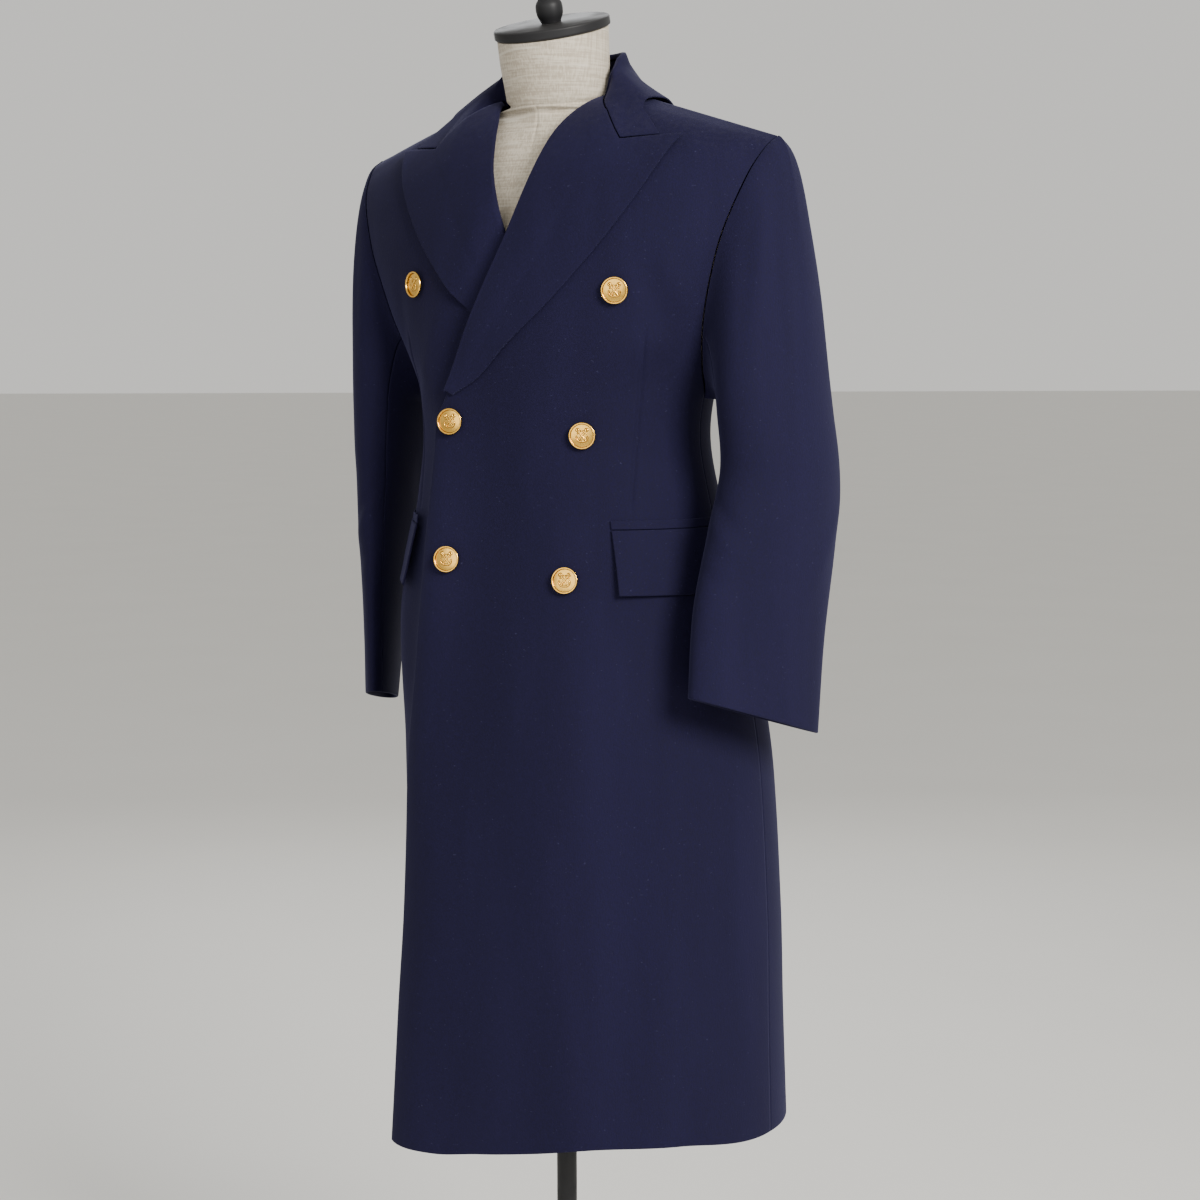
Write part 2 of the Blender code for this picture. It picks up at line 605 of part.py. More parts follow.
def collar_section(share, side, inner):
    """One section of the leaf's outer or inner face, from the neck to the edge."""
    if share <= 0.80:
        roll = collar_path(np.array(side * max(share, 1e-9)), "roll")
        x, height = side * collar_value("fall_x", share), collar_value("fall_height", share)
        face = np.array(1.0 if share > 0.66 else -1.0)
        ridge = 4.0 * math.exp(-(((share - 0.66) / 0.10) ** 2))
        out = surface_at(x, height, face, COLLAR_LIFT + ridge) - roll
        across = out * np.array((1.0, 1.0, 0.0)) / math.hypot(out[0], out[1])
        up = np.array((0.0, 0.0, 1.0))
        off = up - out * (out[2] / (out @ out))
        off *= -LEAF * inner / np.linalg.norm(off)
        arch = 2.5 - 8.5 * math.exp(-(((share - 0.50) / 0.16) ** 2))
        fall = [roll + off + out * p + up * arch * math.sin(math.pi * p**0.8) for p in FALL_SHARES]
        turn = [roll + across * a + up * z for a, z in COLLAR_BEND[inner]]
        return np.array(turn + fall)
    x, height = fall_start(FALL_SHARES)
    lying = lifted(side * x, height, "front", COLLAR_LIFT - LEAF * inner)
    top_x, top_h = fall_start(np.array(0.0))
    bends = []
    for beyond, rise in COLLAR_END_BEND[inner]:
        bends.append(lifted(side * (top_x - beyond), top_h, "front", rise))
    t = (share - 0.80) / 0.20
    return collar_section(0.80, side, inner) * (1 - t) + np.concatenate((np.array(bends), lying)) * t


def collar_stand():
    """The band inside the collar, from the neckline up to the roll."""
    half = np.linspace(0.0, 0.76, 9)
    shares = np.concatenate((-half[:0:-1], half))
    foot = collar_path(shares, "stand")
    roll = collar_path(shares, "roll") - np.array((0.0, 0.0, 5.6))
    foot = foot + np.array((0.0, 0.0, 1.5))
    grid = np.stack((foot, foot * 0.5 + roll * 0.5, roll), 1)
    return sheet("collar_stand", grid, LEAF, WOOL)


# ---- sleeves ---------------------------------------------------------------------------
def armhole(turn, side):
    """Points round the armhole: 0 is the shoulder tip, 90 the front, 180 below."""
    t = np.cos(np.radians(turn) / 2) ** 2
    level = UNDERARM + t * (NECK_HEIGHT - UNDERARM)
    angle = side * body_value("angle", level)
    fore = body_at_turn(level, angle, "front")
    aft = body_at_turn(level, angle, "back")
    return np.where((turn % 360 <= 180)[..., None], fore, aft)


def sleeve_ring(table, key, turn, side, inset):
    """Points round a sleeve section; turn as for the armhole."""
    row = {n: smooth(np.arange(len(table)), column(table, SLEEVE_COLUMNS, n), key) for n in SLEEVE_COLUMNS}
    swing = np.radians(row["turn"])
    a = np.radians(turn)
    across = np.cos(a) * (row["short"] - inset)
    along = -np.sin(a) * (row["long"] - inset)
    x = row["x"] + across * math.cos(swing) + along * math.sin(swing)
    y = row["y"] - across * math.sin(swing) + along * math.cos(swing)
    z = row["z"] - row["dip"] * along + 0 * x
    return np.stack((side * x, y, z), -1)


def sleeve_grid(side, turn, inset):
    """Rows from the armhole to the cuff, at each angle round the sleeve."""
    table = SLEEVE_LEFT if side > 0 else SLEEVE_RIGHT
    hole = armhole(turn, side)
    inward = (np.array((0.0, 10.0, 1330.0)) - hole) * np.array((0.0, 1.0, 1.0))
    inward /= np.linalg.norm(inward, axis=-1, keepdims=True)
    top = hole + np.array((side * 1.1, 0.0, 0.0)) + inward * inset
    bicep = sleeve_ring(table, 0.0, turn, side, inset)
    below = sleeve_ring(table, 0.15, turn, side, inset)
    high = (0.5 + 0.5 * np.cos(np.radians(turn)))[:, None]
    leave = np.array((side * 0.97, 0.0, -0.10)) * (14.0 + (54.0 if side > 0 else 38.0) * high)
    arrive = (below - bicep) / np.linalg.norm(below - bicep, axis=-1, keepdims=True)
    arrive = arrive * (14.0 + 250.0 * high)
    rows = []
    for t in (0.0, 0.05, 0.11, 0.19, 0.30, 0.45, 0.62, 0.80, 1.0):
        start, end = (1 + 2 * t) * (1 - t) ** 2, t * t * (3 - 2 * t)
        bend = leave * t * (1 - t) ** 2 - arrive * t * t * (1 - t)
        rows.append(top * start + bicep * end + bend)
    for key in np.linspace(0.0, 4.0, 10)[1:]:
        rows.append(sleeve_ring(table, key, turn, side, inset))
    return np.stack(rows)


def sleeve(side):
    """The upper and the under sleeve of one arm."""
    hand = "left" if side > 0 else "right"
    for name, start, end, count in (("upper", -96.0, 124.0, 15), ("under", 124.0, 264.0, 10)):
        turn = np.linspace(start + SLEEVE_SEAM, end - SLEEVE_SEAM, count) % 360.0
        outer, inner = sleeve_grid(side, turn, 0.0), sleeve_grid(side, turn, CLOTH)
        if side < 0:
            outer, inner = outer[:, ::-1], inner[:, ::-1]
        wall(name + "_sleeve_" + hand, outer, inner, WOOL)


# ---- pockets, buttons and the stand -----------------------------------------------------
def pocket(side):
    """A pocket flap and the welt above it."""
    hand = "left" if side > 0 else "right"
    share = np.linspace(0, 1, 9)[None, :]
    starts = []
    for x, level in (FLAP_FRONT_TOP, FLAP_FRONT_LOW):
        starts.append(np.degrees(np.arcsin(x / reach(np.array(level), np.array(side * 1.0)))))
    down = np.linspace(1, 0, 6)[:, None]
    level = FLAP_FRONT_TOP[1] + (FLAP_FRONT_LOW[1] - FLAP_FRONT_TOP[1]) * down + 0 * share
    start = starts[0] + (starts[1] - starts[0]) * down
    lift = TURNED + GAP + 0.25 + down * (1.2 + 5.0 * (1 - share) ** 3)
    on_front(side, "pocket_flap_" + hand, start + (FLAP_BACK_TURN - start) * share, level, lift, TURNED)
    level = FLAP_FRONT_TOP[1] + 2 * GAP + WELT_HEIGHT * np.linspace(0, 1, 3)[:, None] + 0 * share
    turn = starts[0] + (FLAP_BACK_TURN - starts[0]) * share + 0 * level
    on_front(side, "pocket_welt_" + hand, turn, level, WELT + GAP + 0.25, WELT)


def on_front(side, name, turn, level, lift, thickness):
    """A flat piece lying on a front, from its places round the body."""
    x = side * reach(level, side * turn) * np.sin(np.radians(turn))
    grid = lifted(x, level, "front", lift)
    sheet(name, grid if side > 0 else grid[:, ::-1], thickness, WOOL)


def button(name, x, height):
    """A turned button on its short shank, square to the cloth."""
    x, height = np.array(x), np.array(height)
    base = lifted(x, height, "front", 0.6)
    axis = surface_normal(x, height, "front")
    profile = [(r * BUTTON_DIAMETER / 2, z) for r, z in BUTTON_PROFILE]
    turned(name, profile, base, axis, 20, GILT)


def stand_and_form():
    """The dress form, its neck cap and finial, the pole and the base."""
    angles = np.linspace(0, 2 * math.pi, 40, endpoint=False)
    rings = []
    for level, half, fore, aft, lean, power in FORM:
        middle = (fore + aft) / 2
        x = half * np.sign(np.sin(angles)) * np.abs(np.sin(angles)) ** (2 / power)
        y = middle - (aft - fore) / 2 * np.sign(np.cos(angles)) * np.abs(np.cos(angles)) ** (2 / power)
        sway = FORM_SWAY * (2.0 - power)
        rings.append(np.stack((x, y, level + lean * (y - middle) + sway * x), -1))
    solid_of_rings("dress_form", rings, LINEN)
    tilt = math.radians(CAP_TILT)
    lean = (0.0, -math.sin(tilt), math.cos(tilt))
    turned("neck_cap", CAP_PROFILE, NECK_TOP, lean, 40, BLACK_WOOD)
    turned("finial", FINIAL_PROFILE, NECK_TOP, lean, 20, BLACK_WOOD)
    turned("pole", POLE_PROFILE, (0.0, 0.0, 0.0), (0.0, 0.0, 1.0), 24, BLACK_METAL)
    turned("stand_base", BASE_PROFILE, (0.0, 0.0, 0.0), (0.0, 0.0, 1.0), 48, BLACK_METAL)


def build():
    """All pieces of the coat, then the form and the stand."""
    for old in list(bpy.data.objects):
        bpy.data.objects.remove(old, do_unlink=True)
    for side in (1, -1):
        front(side)
        back(side)
        lapel(side)
        sleeve(side)
        pocket(side)
    collar_fall()
    collar_stand()
    for name, x, height in BUTTONS:
        button(name, x, height)
    stand_and_form()


build()
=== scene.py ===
"""Looks of a double-breasted wool overcoat on its dress form and stand.

Tables and fields are in millimetres unless they say otherwise, and meshes are in
metres, in the frame's own axes: +Z is up, the coat's front faces -Y and the
wearer's left is +X.
"""
import logging
import math
from dataclasses import dataclass
from enum import Enum

import bpy
import numpy as np
from mathutils import Matrix, Vector


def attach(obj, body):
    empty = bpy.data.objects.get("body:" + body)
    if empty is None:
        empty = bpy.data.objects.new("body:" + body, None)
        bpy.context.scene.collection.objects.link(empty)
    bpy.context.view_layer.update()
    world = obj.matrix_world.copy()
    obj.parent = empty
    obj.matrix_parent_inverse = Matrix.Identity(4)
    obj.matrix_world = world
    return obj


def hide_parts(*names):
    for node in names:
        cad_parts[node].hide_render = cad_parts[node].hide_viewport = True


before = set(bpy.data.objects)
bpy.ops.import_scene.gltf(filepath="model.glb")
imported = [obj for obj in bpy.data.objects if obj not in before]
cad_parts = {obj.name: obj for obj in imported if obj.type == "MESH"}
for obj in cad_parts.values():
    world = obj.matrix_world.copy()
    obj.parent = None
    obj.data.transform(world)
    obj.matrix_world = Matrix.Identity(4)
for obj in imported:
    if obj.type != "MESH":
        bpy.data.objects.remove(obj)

LOG = logging.getLogger("overcoat")
MM = 0.001
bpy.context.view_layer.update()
TINY = 1e-9
MIX_SHARE, MIX_A, MIX_B, MIX_RESULT = 0, 6, 7, 2  # a mix node's sockets where it mixes colours
Colour = tuple[float, float, float, float]
SOCKETS = {
    "roughness": "Roughness",
    "metallic": "Metallic",
    "specular": "Specular IOR Level",
    "sheen": "Sheen Weight",
    "sheen_roughness": "Sheen Roughness",
    "sheen_tint": "Sheen Tint",
    "coat": "Coat Weight",
    "coat_roughness": "Coat Roughness",
}


class Side(Enum):
    """The wearer's side that a piece belongs to."""

    LEFT = 1
    RIGHT = -1

    @property
    def hand(self) -> str:
        """The side's word in names."""
        return self.name.lower()


class Face(Enum):
    """The face of the coat's body that a place lies on."""

    FRONT = "front"
    BACK = "back"


# ---- curves and grids ----------------------------------------------------------------
def smooth(keys: np.ndarray, values: np.ndarray, at: np.ndarray) -> np.ndarray:
    """Values on a smooth curve through a table's points.

    Args:
        keys: the rising keys.
        values: the value at each key; further axes are carried along.
        at: the keys asked for.

    Returns:
        One value for each key asked for.
    """
    keys, values = np.asarray(keys, float), np.asarray(values, float)
    at = np.clip(np.asarray(at, float), keys[0], keys[-1])
    extra = (1,) * (values.ndim - 1)
    gaps = np.reshape(np.diff(keys), (-1,) + extra)
    steps = np.diff(values, axis=0) / gaps
    slopes = np.concatenate((steps[:1], (steps[1:] + steps[:-1]) / 2, steps[-1:]))
    slopes[1:-1][steps[1:] * steps[:-1] <= 0] = 0.0
    i = np.clip(np.searchsorted(keys, at, side="right") - 1, 0, len(keys) - 2)
    width = np.reshape(keys[i + 1] - keys[i], at.shape + extra)
    t = np.reshape(at - keys[i], at.shape + extra) / width
    rise = values[i] * (1 + 2 * t) * (1 - t) ** 2 + values[i + 1] * t**2 * (3 - 2 * t)
    return rise + slopes[i] * width * t * (1 - t) ** 2 - slopes[i + 1] * width * t**2 * (1 - t)


def step_between(value: np.ndarray, low: float, high: float) -> np.ndarray:
    """0 below low, 1 above high and a soft change between."""
    t = np.clip((value - low) / (high - low), 0.0, 1.0)
    return t * t * (3 - 2 * t)


def unit(vectors: np.ndarray) -> np.ndarray:
    """The vectors at length 1."""
    return vectors / np.maximum(np.linalg.norm(vectors, axis=-1, keepdims=True), TINY)


def normals(grid: np.ndarray) -> np.ndarray:
    """Unit normals of a grid of points, right-handed in (column, row)."""
    return unit(np.cross(np.gradient(grid, axis=1), np.gradient(grid, axis=0)))


@dataclass(frozen=True)
class Table:
    """Rows of sizes under named columns; the first column is the key."""

    names: tuple[str, ...]
    rows: tuple[tuple[float, ...], ...]

    def column(self, name: str) -> np.ndarray:
        """One named column."""
        return np.array([row[self.names.index(name)] for row in self.rows], float)

    def at(self, name: str, key: np.ndarray) -> np.ndarray:
        """A named column's value on a smooth curve over the key."""
        return smooth(self.column(self.names[0]), self.column(name), key)


# ---- meshes --------------------------------------------------------------------------
def in_scene(name: str, data: bpy.types.ID) -> bpy.types.Object:
    """A new object for a mesh, lamp or camera, linked into the scene."""
    made = bpy.data.objects.new(name, data)
    bpy.context.scene.collection.objects.link(made)
    return made


def add_piece(name: str, points: np.ndarray, faces: list) -> bpy.types.Object:
    """A smooth-shaded piece from points in mm.

    Args:
        name: the piece's name.
        points: its vertices.
        faces: corner indices of each face.

    Returns:
        The new object.
    """
    mesh = bpy.data.meshes.new(name)
    mesh.from_pydata((np.asarray(points) * MM).tolist(), [], faces)
    mesh.polygons.foreach_set("use_smooth", [True] * len(mesh.polygons))
    mesh.update()
    return in_scene(name, mesh)


def quads(at: np.ndarray) -> np.ndarray:
    """Corner indices of every cell of an index grid."""
    return np.stack((at[:-1, :-1], at[:-1, 1:], at[1:, 1:], at[1:, :-1]), -1).reshape(-1, 4)


@dataclass(frozen=True)
class Rims:
    """How far each border's rounded edge runs in: narrow where sewn, wide where free."""

    first_row: float = 0.8
    last_row: float = 0.8
    first_column: float = 0.8
    last_column: float = 0.8

    def mirrored(self) -> "Rims":
        """The same with the first and last column changed over."""
        return Rims(self.first_row, self.last_row, self.last_column, self.first_column)


def cloth_shell(name: str, outer: np.ndarray, inner: np.ndarray,
                rims: Rims = Rims()) -> bpy.types.Object:
    """A closed cloth wall between two grids, its edges turned over in a half round.

    Args:
        name: the piece's name.
        outer: points of the outer face, rows by columns.
        inner: points of the inner face.
        rims: how far each rounded edge runs in from the wall's border, in mm.

    Returns:
        The new object.
    """
    middle, half = (outer + inner) / 2, (outer - inner) / 2
    row_out, col_out = np.zeros_like(middle), np.zeros_like(middle)
    row_out[0] = unit(middle[0] - middle[1]) * rims.first_row
    row_out[-1] = unit(middle[-1] - middle[-2]) * rims.last_row
    col_out[:, 0] = unit(middle[:, 0] - middle[:, 1]) * rims.first_column
    col_out[:, -1] = unit(middle[:, -1] - middle[:, -2]) * rims.last_column
    middle = middle - row_out - col_out
    bend = np.radians((90.0, 60.0, 30.0))
    rows, cols = middle.shape[:2]
    at_row = np.concatenate(([0] * len(bend), np.arange(rows), [rows - 1] * len(bend)))
    at_col = np.concatenate(([0] * len(bend), np.arange(cols), [cols - 1] * len(bend)))
    row_bend = np.concatenate((bend, np.zeros(rows), bend[::-1]))[:, None, None]
    col_bend = np.concatenate((bend, np.zeros(cols), bend[::-1]))[None, :, None]
    pick = np.ix_(at_row, at_col)
    side = row_out[pick] * np.sin(row_bend) + col_out[pick] * np.sin(col_bend)
    depth = half[pick] * np.cos(row_bend) * np.cos(col_bend)
    face, lining = middle[pick] + side + depth, middle[pick] + side - depth
    high, wide = face.shape[:2]
    out_at = np.arange(high * wide).reshape(high, wide)
    in_at = out_at.copy()
    inside = (high - 2, wide - 2)
    in_at[1:-1, 1:-1] = high * wide + np.arange(inside[0] * inside[1]).reshape(inside)
    points = np.concatenate((face.reshape(-1, 3), lining[1:-1, 1:-1].reshape(-1, 3)))
    return add_piece(name, points, np.concatenate((quads(out_at), quads(in_at)[:, ::-1])).tolist())


def ring_solid(name: str, rings: np.ndarray) -> bpy.types.Object:
    """A closed solid through closed rings of points, with fans at both ends.

    Args:
        name: the piece's name.
        rings: points, rings by places round.

    Returns:
        The new object.
    """
    count, around = rings.shape[:2]
    at = np.arange(count * around).reshape(count, around)
    nxt = np.roll(at, -1, axis=1)
    faces = np.stack((at[:-1], nxt[:-1], nxt[1:], at[1:]), -1).reshape(-1, 4).tolist()
    low, high = count * around, count * around + 1
    faces += [(low, int(b), int(a)) for a, b in zip(at[0], nxt[0])]
    faces += [(high, int(a), int(b)) for a, b in zip(at[-1], nxt[-1])]
    points = np.concatenate((rings.reshape(-1, 3), rings[:1].mean(1), rings[-1:].mean(1)))
    return add_piece(name, points, faces)


def circle_axes(axis: np.ndarray) -> tuple[np.ndarray, np.ndarray, np.ndarray]:
    """The unit axis and two directions square to it, the second as upright as it can be."""
    axis, steep = unit(np.asarray(axis, float)), 0.9
    helper = np.array((0.0, 0.0, 1.0)) if abs(axis[2]) < steep else np.array((1.0, 0.0, 0.0))
    first = unit(np.cross(helper, axis))
    return axis, first, np.cross(axis, first)


def turns(around: int) -> np.ndarray:
    """Even angles round a full turn."""
    return np.linspace(0, 2 * math.pi, around, endpoint=False)


def circle(angles: np.ndarray, first: np.ndarray, second: np.ndarray) -> np.ndarray:
    """Points of a unit circle in the plane of two directions."""
    return np.cos(angles)[:, None] * first + np.sin(angles)[:, None] * second


def through(rows: np.ndarray, count: int) -> np.ndarray:
    """Rows of a profile carried on a smooth curve to a given count."""
    last = len(rows) - 1
    return smooth(np.arange(last + 1), rows, np.linspace(0, last, count))


def lathe(name: str, profile: tuple, centre: tuple, axis: tuple, around: int,
          fine: int) -> bpy.types.Object:
    """A turned solid with a smooth outline.

    Args:
        name: the piece's name.
        profile: rows of radius and distance along the axis.
        centre: where distance 0 lies.
        axis: the turning axis.
        around: places round.
        fine: rings between two rows of the profile.

    Returns:
        The new object.
    """
    axis, first, second = circle_axes(axis)
    rows = through(np.asarray(profile, float), fine * (len(profile) - 1) + 1)
    loop = circle(turns(around), first, second)
    rings = [np.asarray(centre) + radius * loop + rise * axis for radius, rise in rows]
    return ring_solid(name, np.stack(rings))


def led_in(bends: np.ndarray, body: np.ndarray, steps: int) -> np.ndarray:
    """Sections whose first few points are carried through a smooth turn.

    Args:
        bends: rows by a few coarse points of the turn.
        body: rows by the dense points that follow it.
        steps: points wanted in the turn.

    Returns:
        Rows by the turn's points and then the body's.
    """
    count = bends.shape[1]
    keys = np.concatenate((bends, body[:, :1], body[:, 3:4]), 1).transpose(1, 0, 2)
    turn = smooth(np.arange(count + 2), keys, np.linspace(0, count, steps + 1)[:-1])
    return np.concatenate((turn.transpose(1, 0, 2), body), 1)


# ---- the coat's body surface ---------------------------------------------------------
@dataclass(frozen=True)
class Crease:
    """A soft trough or ridge between two places on the cloth."""

    x0: float
    level0: float
    x1: float
    level1: float
    width: float
    rise: float
    wander: float = 0.35
    waves: float = 3.1
    beyond: float = 0.2
    fade_power: float = 1.5

    def offset(self, x: np.ndarray, level: np.ndarray) -> np.ndarray:
        """How far the crease moves the cloth out at each place, fading at its ends."""
        run = np.array((self.x1 - self.x0, self.level1 - self.level0))
        long = float(np.hypot(*run))
        along = ((x - self.x0) * run[0] + (level - self.level0) * run[1]) / long
        aside = ((x - self.x0) * run[1] - (level - self.level0) * run[0]) / long
        wander = self.wander * self.width * np.sin(self.waves * along / long + self.x0)
        share = np.clip(along / long, -self.beyond, 1 + self.beyond)
        fade = np.sin(np.pi * (share + self.beyond) / (1 + 2 * self.beyond))
        fade = np.clip(fade, 0.0, 1.0) ** self.fade_power
        return self.rise * fade * np.exp(-(((aside - wander) / self.width) ** 2))


@dataclass(frozen=True)
class CoatBody:
    """The surface of the coat's body, from the hem to the shoulder seams."""

    underarm: float = 1195.0
    neck_height: float = 1480.0
    neck_half: float = 75.0
    left_drop: float = 0.31
    right_drop: float = 0.35
    overlap_drop: float = 7.6
    seam_half: float = 0.15
    slant: tuple[float, float, float] = (0.866, 0.5, 0.0)
    slant_soft: float = 4.0
    normal_step: float = 0.5
    calm_side: float = 16.0
    calm_centre: float = 14.0
    calm_top: tuple[float, float] = (1440.0, 1476.0)
    hem_fade: float = 640.0
    covered_from: float = 50.0
    covered_to: float = 14.0
    covered_top: tuple[float, float] = (1332.0, 1412.0)
    skirt_rows: tuple[float, int] = (1160.0, 120)
    chest_rows: tuple[float, float, int] = (1166.0, 1430.0, 56)
    shoulder_rows: tuple[float, float, int] = (1433.0, 1472.0, 16)
    seam_rows: tuple[float, int] = (1473.5, 8)
    proud_x: float = -80.0
    proud_width: float = 40.0
    hem_height: float = 492.0
    sizes: Table = Table(
        ("height", "left", "right", "angle", "side", "front", "back", "square", "flat", "proud"),
        (
            (492, 224, 190, 90, 5, -163, 189, 3, 171, 9),
            (600, 218, 187, 90, 12, -153, 185, 2.8, 166, 8),
            (706, 213, 182, 90, 18, -146, 182, 2.5, 161, 8),
            (800, 208, 180, 90, 18, -141, 177, 2.5, 157, 10),
            (859, 203, 182, 90, 18, -138, 172, 2.4, 157, 12),
            (960, 187, 183, 90, 14, -127, 156, 2.2, 162, 17),
            (1037, 172, 170, 90, 10, -116, 139, 2, 168, 23),
            (1100, 155, 155, 90, 8, -108, 126, 2, 170, 25),
            (1162, 145, 145, 90, 7, -104, 120, 2, 180, 25),
            (1195, 149, 149, 90, 7, -106, 121, 2, 190, 20),
            (1225, 158, 158, 79, 8, -108, 123, 2, 200, 13),
            (1265, 168, 168, 69, 9, -111, 126, 2, 210, 5),
            (1320, 181, 181, 63, 10, -109, 127, 2, 220, 0),
            (1375, 195, 195, 60, 12, -99, 122, 2, 230, 0),
            (1420, 208, 206, 60, 13, -82, 108, 2, 240, 0),
            (1454, 216, 213, 62, 14, -54, 84, 2, 250, 0),
            (1472, 220, 217, 66, 14, -24, 52, 2, 250, 0),
            (1480, 221, 218, 70, 14, 8, 8, 2, 250, 0),
        ),
    )
    edge: Table = Table(
        ("height", "x"),
        (
            (492, -107), (706, -104), (842, -98), (945, -87), (1039, -83),
            (1150, -75), (1178, -72), (1192, -65), (1264, -35), (1343, 4),
            (1401, 24), (1454, 42), (1470, 54), (1480, 64),
        ),
    )
    hem: Table = Table(
        ("x", "rise"),
        (
            (-224, 0), (-150, -4), (-100, -10), (-50, -11), (0, -4),
            (60, 5), (120, 13), (180, 14), (224, 6),
        ),
    )
    front_creases: tuple[Crease, ...] = (
        Crease(150, 1262, 78, 1216, 13, 1.4),
        Crease(146, 1236, 92, 1180, 9, -1.2),
        Crease(134, 1330, 142, 1252, 11, -1.5),
        Crease(152, 1352, 158, 1286, 9, 1.4),
        Crease(-136, 1336, -146, 1246, 11, -1.4),
        Crease(-148, 1250, -84, 1206, 12, 1.3),
        Crease(92, 1150, 150, 1128, 10, -1),
        Crease(20, 1120, 26, 980, 26, -1.2),
        Crease(36, 960, 58, 560, 30, 2.2),
        Crease(-22, 900, -30, 520, 34, -2),
        Crease(110, 930, 128, 530, 26, -2.4),
        Crease(156, 900, 172, 520, 22, 2.4),
        Crease(-126, 900, -140, 520, 24, -2),
        Crease(8, 800, 0, 500, 20, 1.2),
    )
    back_creases: tuple[Crease, ...] = (
        Crease(62, 1330, 128, 1268, 15, 1.6),
        Crease(-58, 1338, -124, 1270, 14, 1.5),
        Crease(36, 1196, 98, 1160, 13, -1.4),
        Crease(-40, 1190, -104, 1166, 12, -1.3),
        Crease(30, 1424, 112, 1416, 11, -1),
        Crease(68, 960, 92, 520, 26, 3),
        Crease(28, 900, 34, 510, 24, -2.6),
        Crease(-62, 940, -86, 520, 27, 2.8),
        Crease(-118, 900, -134, 520, 22, -2.6),
        Crease(128, 880, 148, 520, 20, -2.4),
    )

    def shoulder_height(self, x: np.ndarray) -> np.ndarray:
        """Height of the shoulder seam over x."""
        drop = np.where(x >= 0, self.left_drop, self.right_drop)
        return self.neck_height - drop * np.maximum(np.abs(x) - self.neck_half, 0.0)

    def lift_of(self, level: np.ndarray, x: np.ndarray) -> np.ndarray:
        """True height of a level over x: the level below the armhole, sloped above."""
        share = (level - self.underarm) / (self.neck_height - self.underarm)
        sloped = self.underarm + share * (self.shoulder_height(x) - self.underarm)
        return np.where(level > self.underarm, sloped, level)

    def reach(self, level: np.ndarray, x: np.ndarray) -> np.ndarray:
        """Half width of the body's full ellipse on the side where x lies."""
        edge = np.where(x >= 0, self.sizes.at("left", level), self.sizes.at("right", level))
        return edge / np.sin(np.radians(self.sizes.at("angle", level)))

    def at_x(self, level: np.ndarray, x: np.ndarray, face: Face) -> np.ndarray:
        """Points on the body's surface.

        Args:
            level: levels up the body.
            x: places across.
            face: front or back.

        Returns:
            The points, in mm.
        """
        level, x = np.broadcast_arrays(np.asarray(level, float), np.asarray(x, float))
        side = self.sizes.at("side", level)
        far = self.sizes.at(face.value, level)
        squared = (x < 0) & (face is Face.FRONT)
        power = np.where(squared, self.sizes.at("square", level), 2.0)
        ratio = np.clip(np.abs(x) / self.reach(level, x), 0.0, 1.0)
        y = side + (far - side) * (1.0 - ratio**power) ** (1.0 / power)
        if face is Face.FRONT:
            bulge = np.exp(-(((x - self.proud_x) / self.proud_width) ** 2))
            y = y - self.sizes.at("proud", level) * bulge
        points = np.stack((x, y, self.lift_of(level, x)), -1)
        slant = np.array(self.slant)
        over = -(points @ slant) - self.sizes.at("flat", level)
        pressed = self.slant_soft * np.logaddexp(0.0, over / self.slant_soft)
        return points + pressed[..., None] * slant

    def normal(self, level: np.ndarray, x: np.ndarray, face: Face) -> np.ndarray:
        """Unit outward normals of the body's surface."""
        step = self.normal_step
        across = self.at_x(level, x + step, face) - self.at_x(level, x - step, face)
        high = np.minimum(level + step, self.neck_height)
        up = self.at_x(high, x, face) - self.at_x(level - step, x, face)
        return unit(np.cross(across, up)) * (1.0 if face is Face.FRONT else -1.0)

    def creased(self, level: np.ndarray, x: np.ndarray, face: Face) -> np.ndarray:
        """How far the creases move the cloth out, still along every sewn edge."""
        creases = self.front_creases if face is Face.FRONT else self.back_creases
        total = sum(c.offset(x, level) for c in creases)
        side_x = self.reach(level, x) * np.sin(np.radians(self.sizes.at("angle", level)))
        calm = step_between(side_x - np.abs(x), 0.0, self.calm_side)
        calm = calm * (1.0 - step_between(level, *self.calm_top))
        if face is Face.BACK:
            calm = calm * step_between(np.abs(x), 0.0, self.calm_centre)
        return total * calm

    def lifted(self, x: np.ndarray, level: np.ndarray, face: Face, lift: np.ndarray) -> np.ndarray:
        """Points a distance off the creased surface of the body.

        Args:
            x: places across.
            level: levels up the body.
            face: front or back.
            lift: distance outward.

        Returns:
            The points, in mm.
        """
        x, level, lift = np.broadcast_arrays(*(np.asarray(v, float) for v in (x, level, lift)))
        out = lift + self.creased(level, x, face)
        return self.at_x(level, x, face) + self.normal(level, x, face) * out[..., None]

    def edge_x(self, level: np.ndarray) -> np.ndarray:
        """The left front's edge below the break, and its roll line above."""
        return self.edge.at("x", level)

    def hem_lift(self, level: np.ndarray, x: np.ndarray) -> np.ndarray:
        """The hem's slight rise and fall, fading out above it."""
        return (1.0 - step_between(level, self.hem_height, self.hem_fade)) * self.hem.at("rise", x)

    def under_left(self, x: np.ndarray, level: np.ndarray) -> np.ndarray:
        """How fully the left front covers a place on the right front, 0 to 1."""
        edge = self.edge_x(level)
        covered = step_between(x, edge - self.covered_from, edge - self.covered_to)
        return covered * (1.0 - step_between(level, *self.covered_top))

    def levels(self) -> np.ndarray:
        """Levels of a panel's rows, closer together over the shoulder."""
        skirt = np.linspace(self.hem_height, *self.skirt_rows)
        chest, shoulder = np.linspace(*self.chest_rows), np.linspace(*self.shoulder_rows)
        seam = np.linspace(self.seam_rows[0], self.neck_height, self.seam_rows[1])
        return np.concatenate((skirt, chest, shoulder, seam))


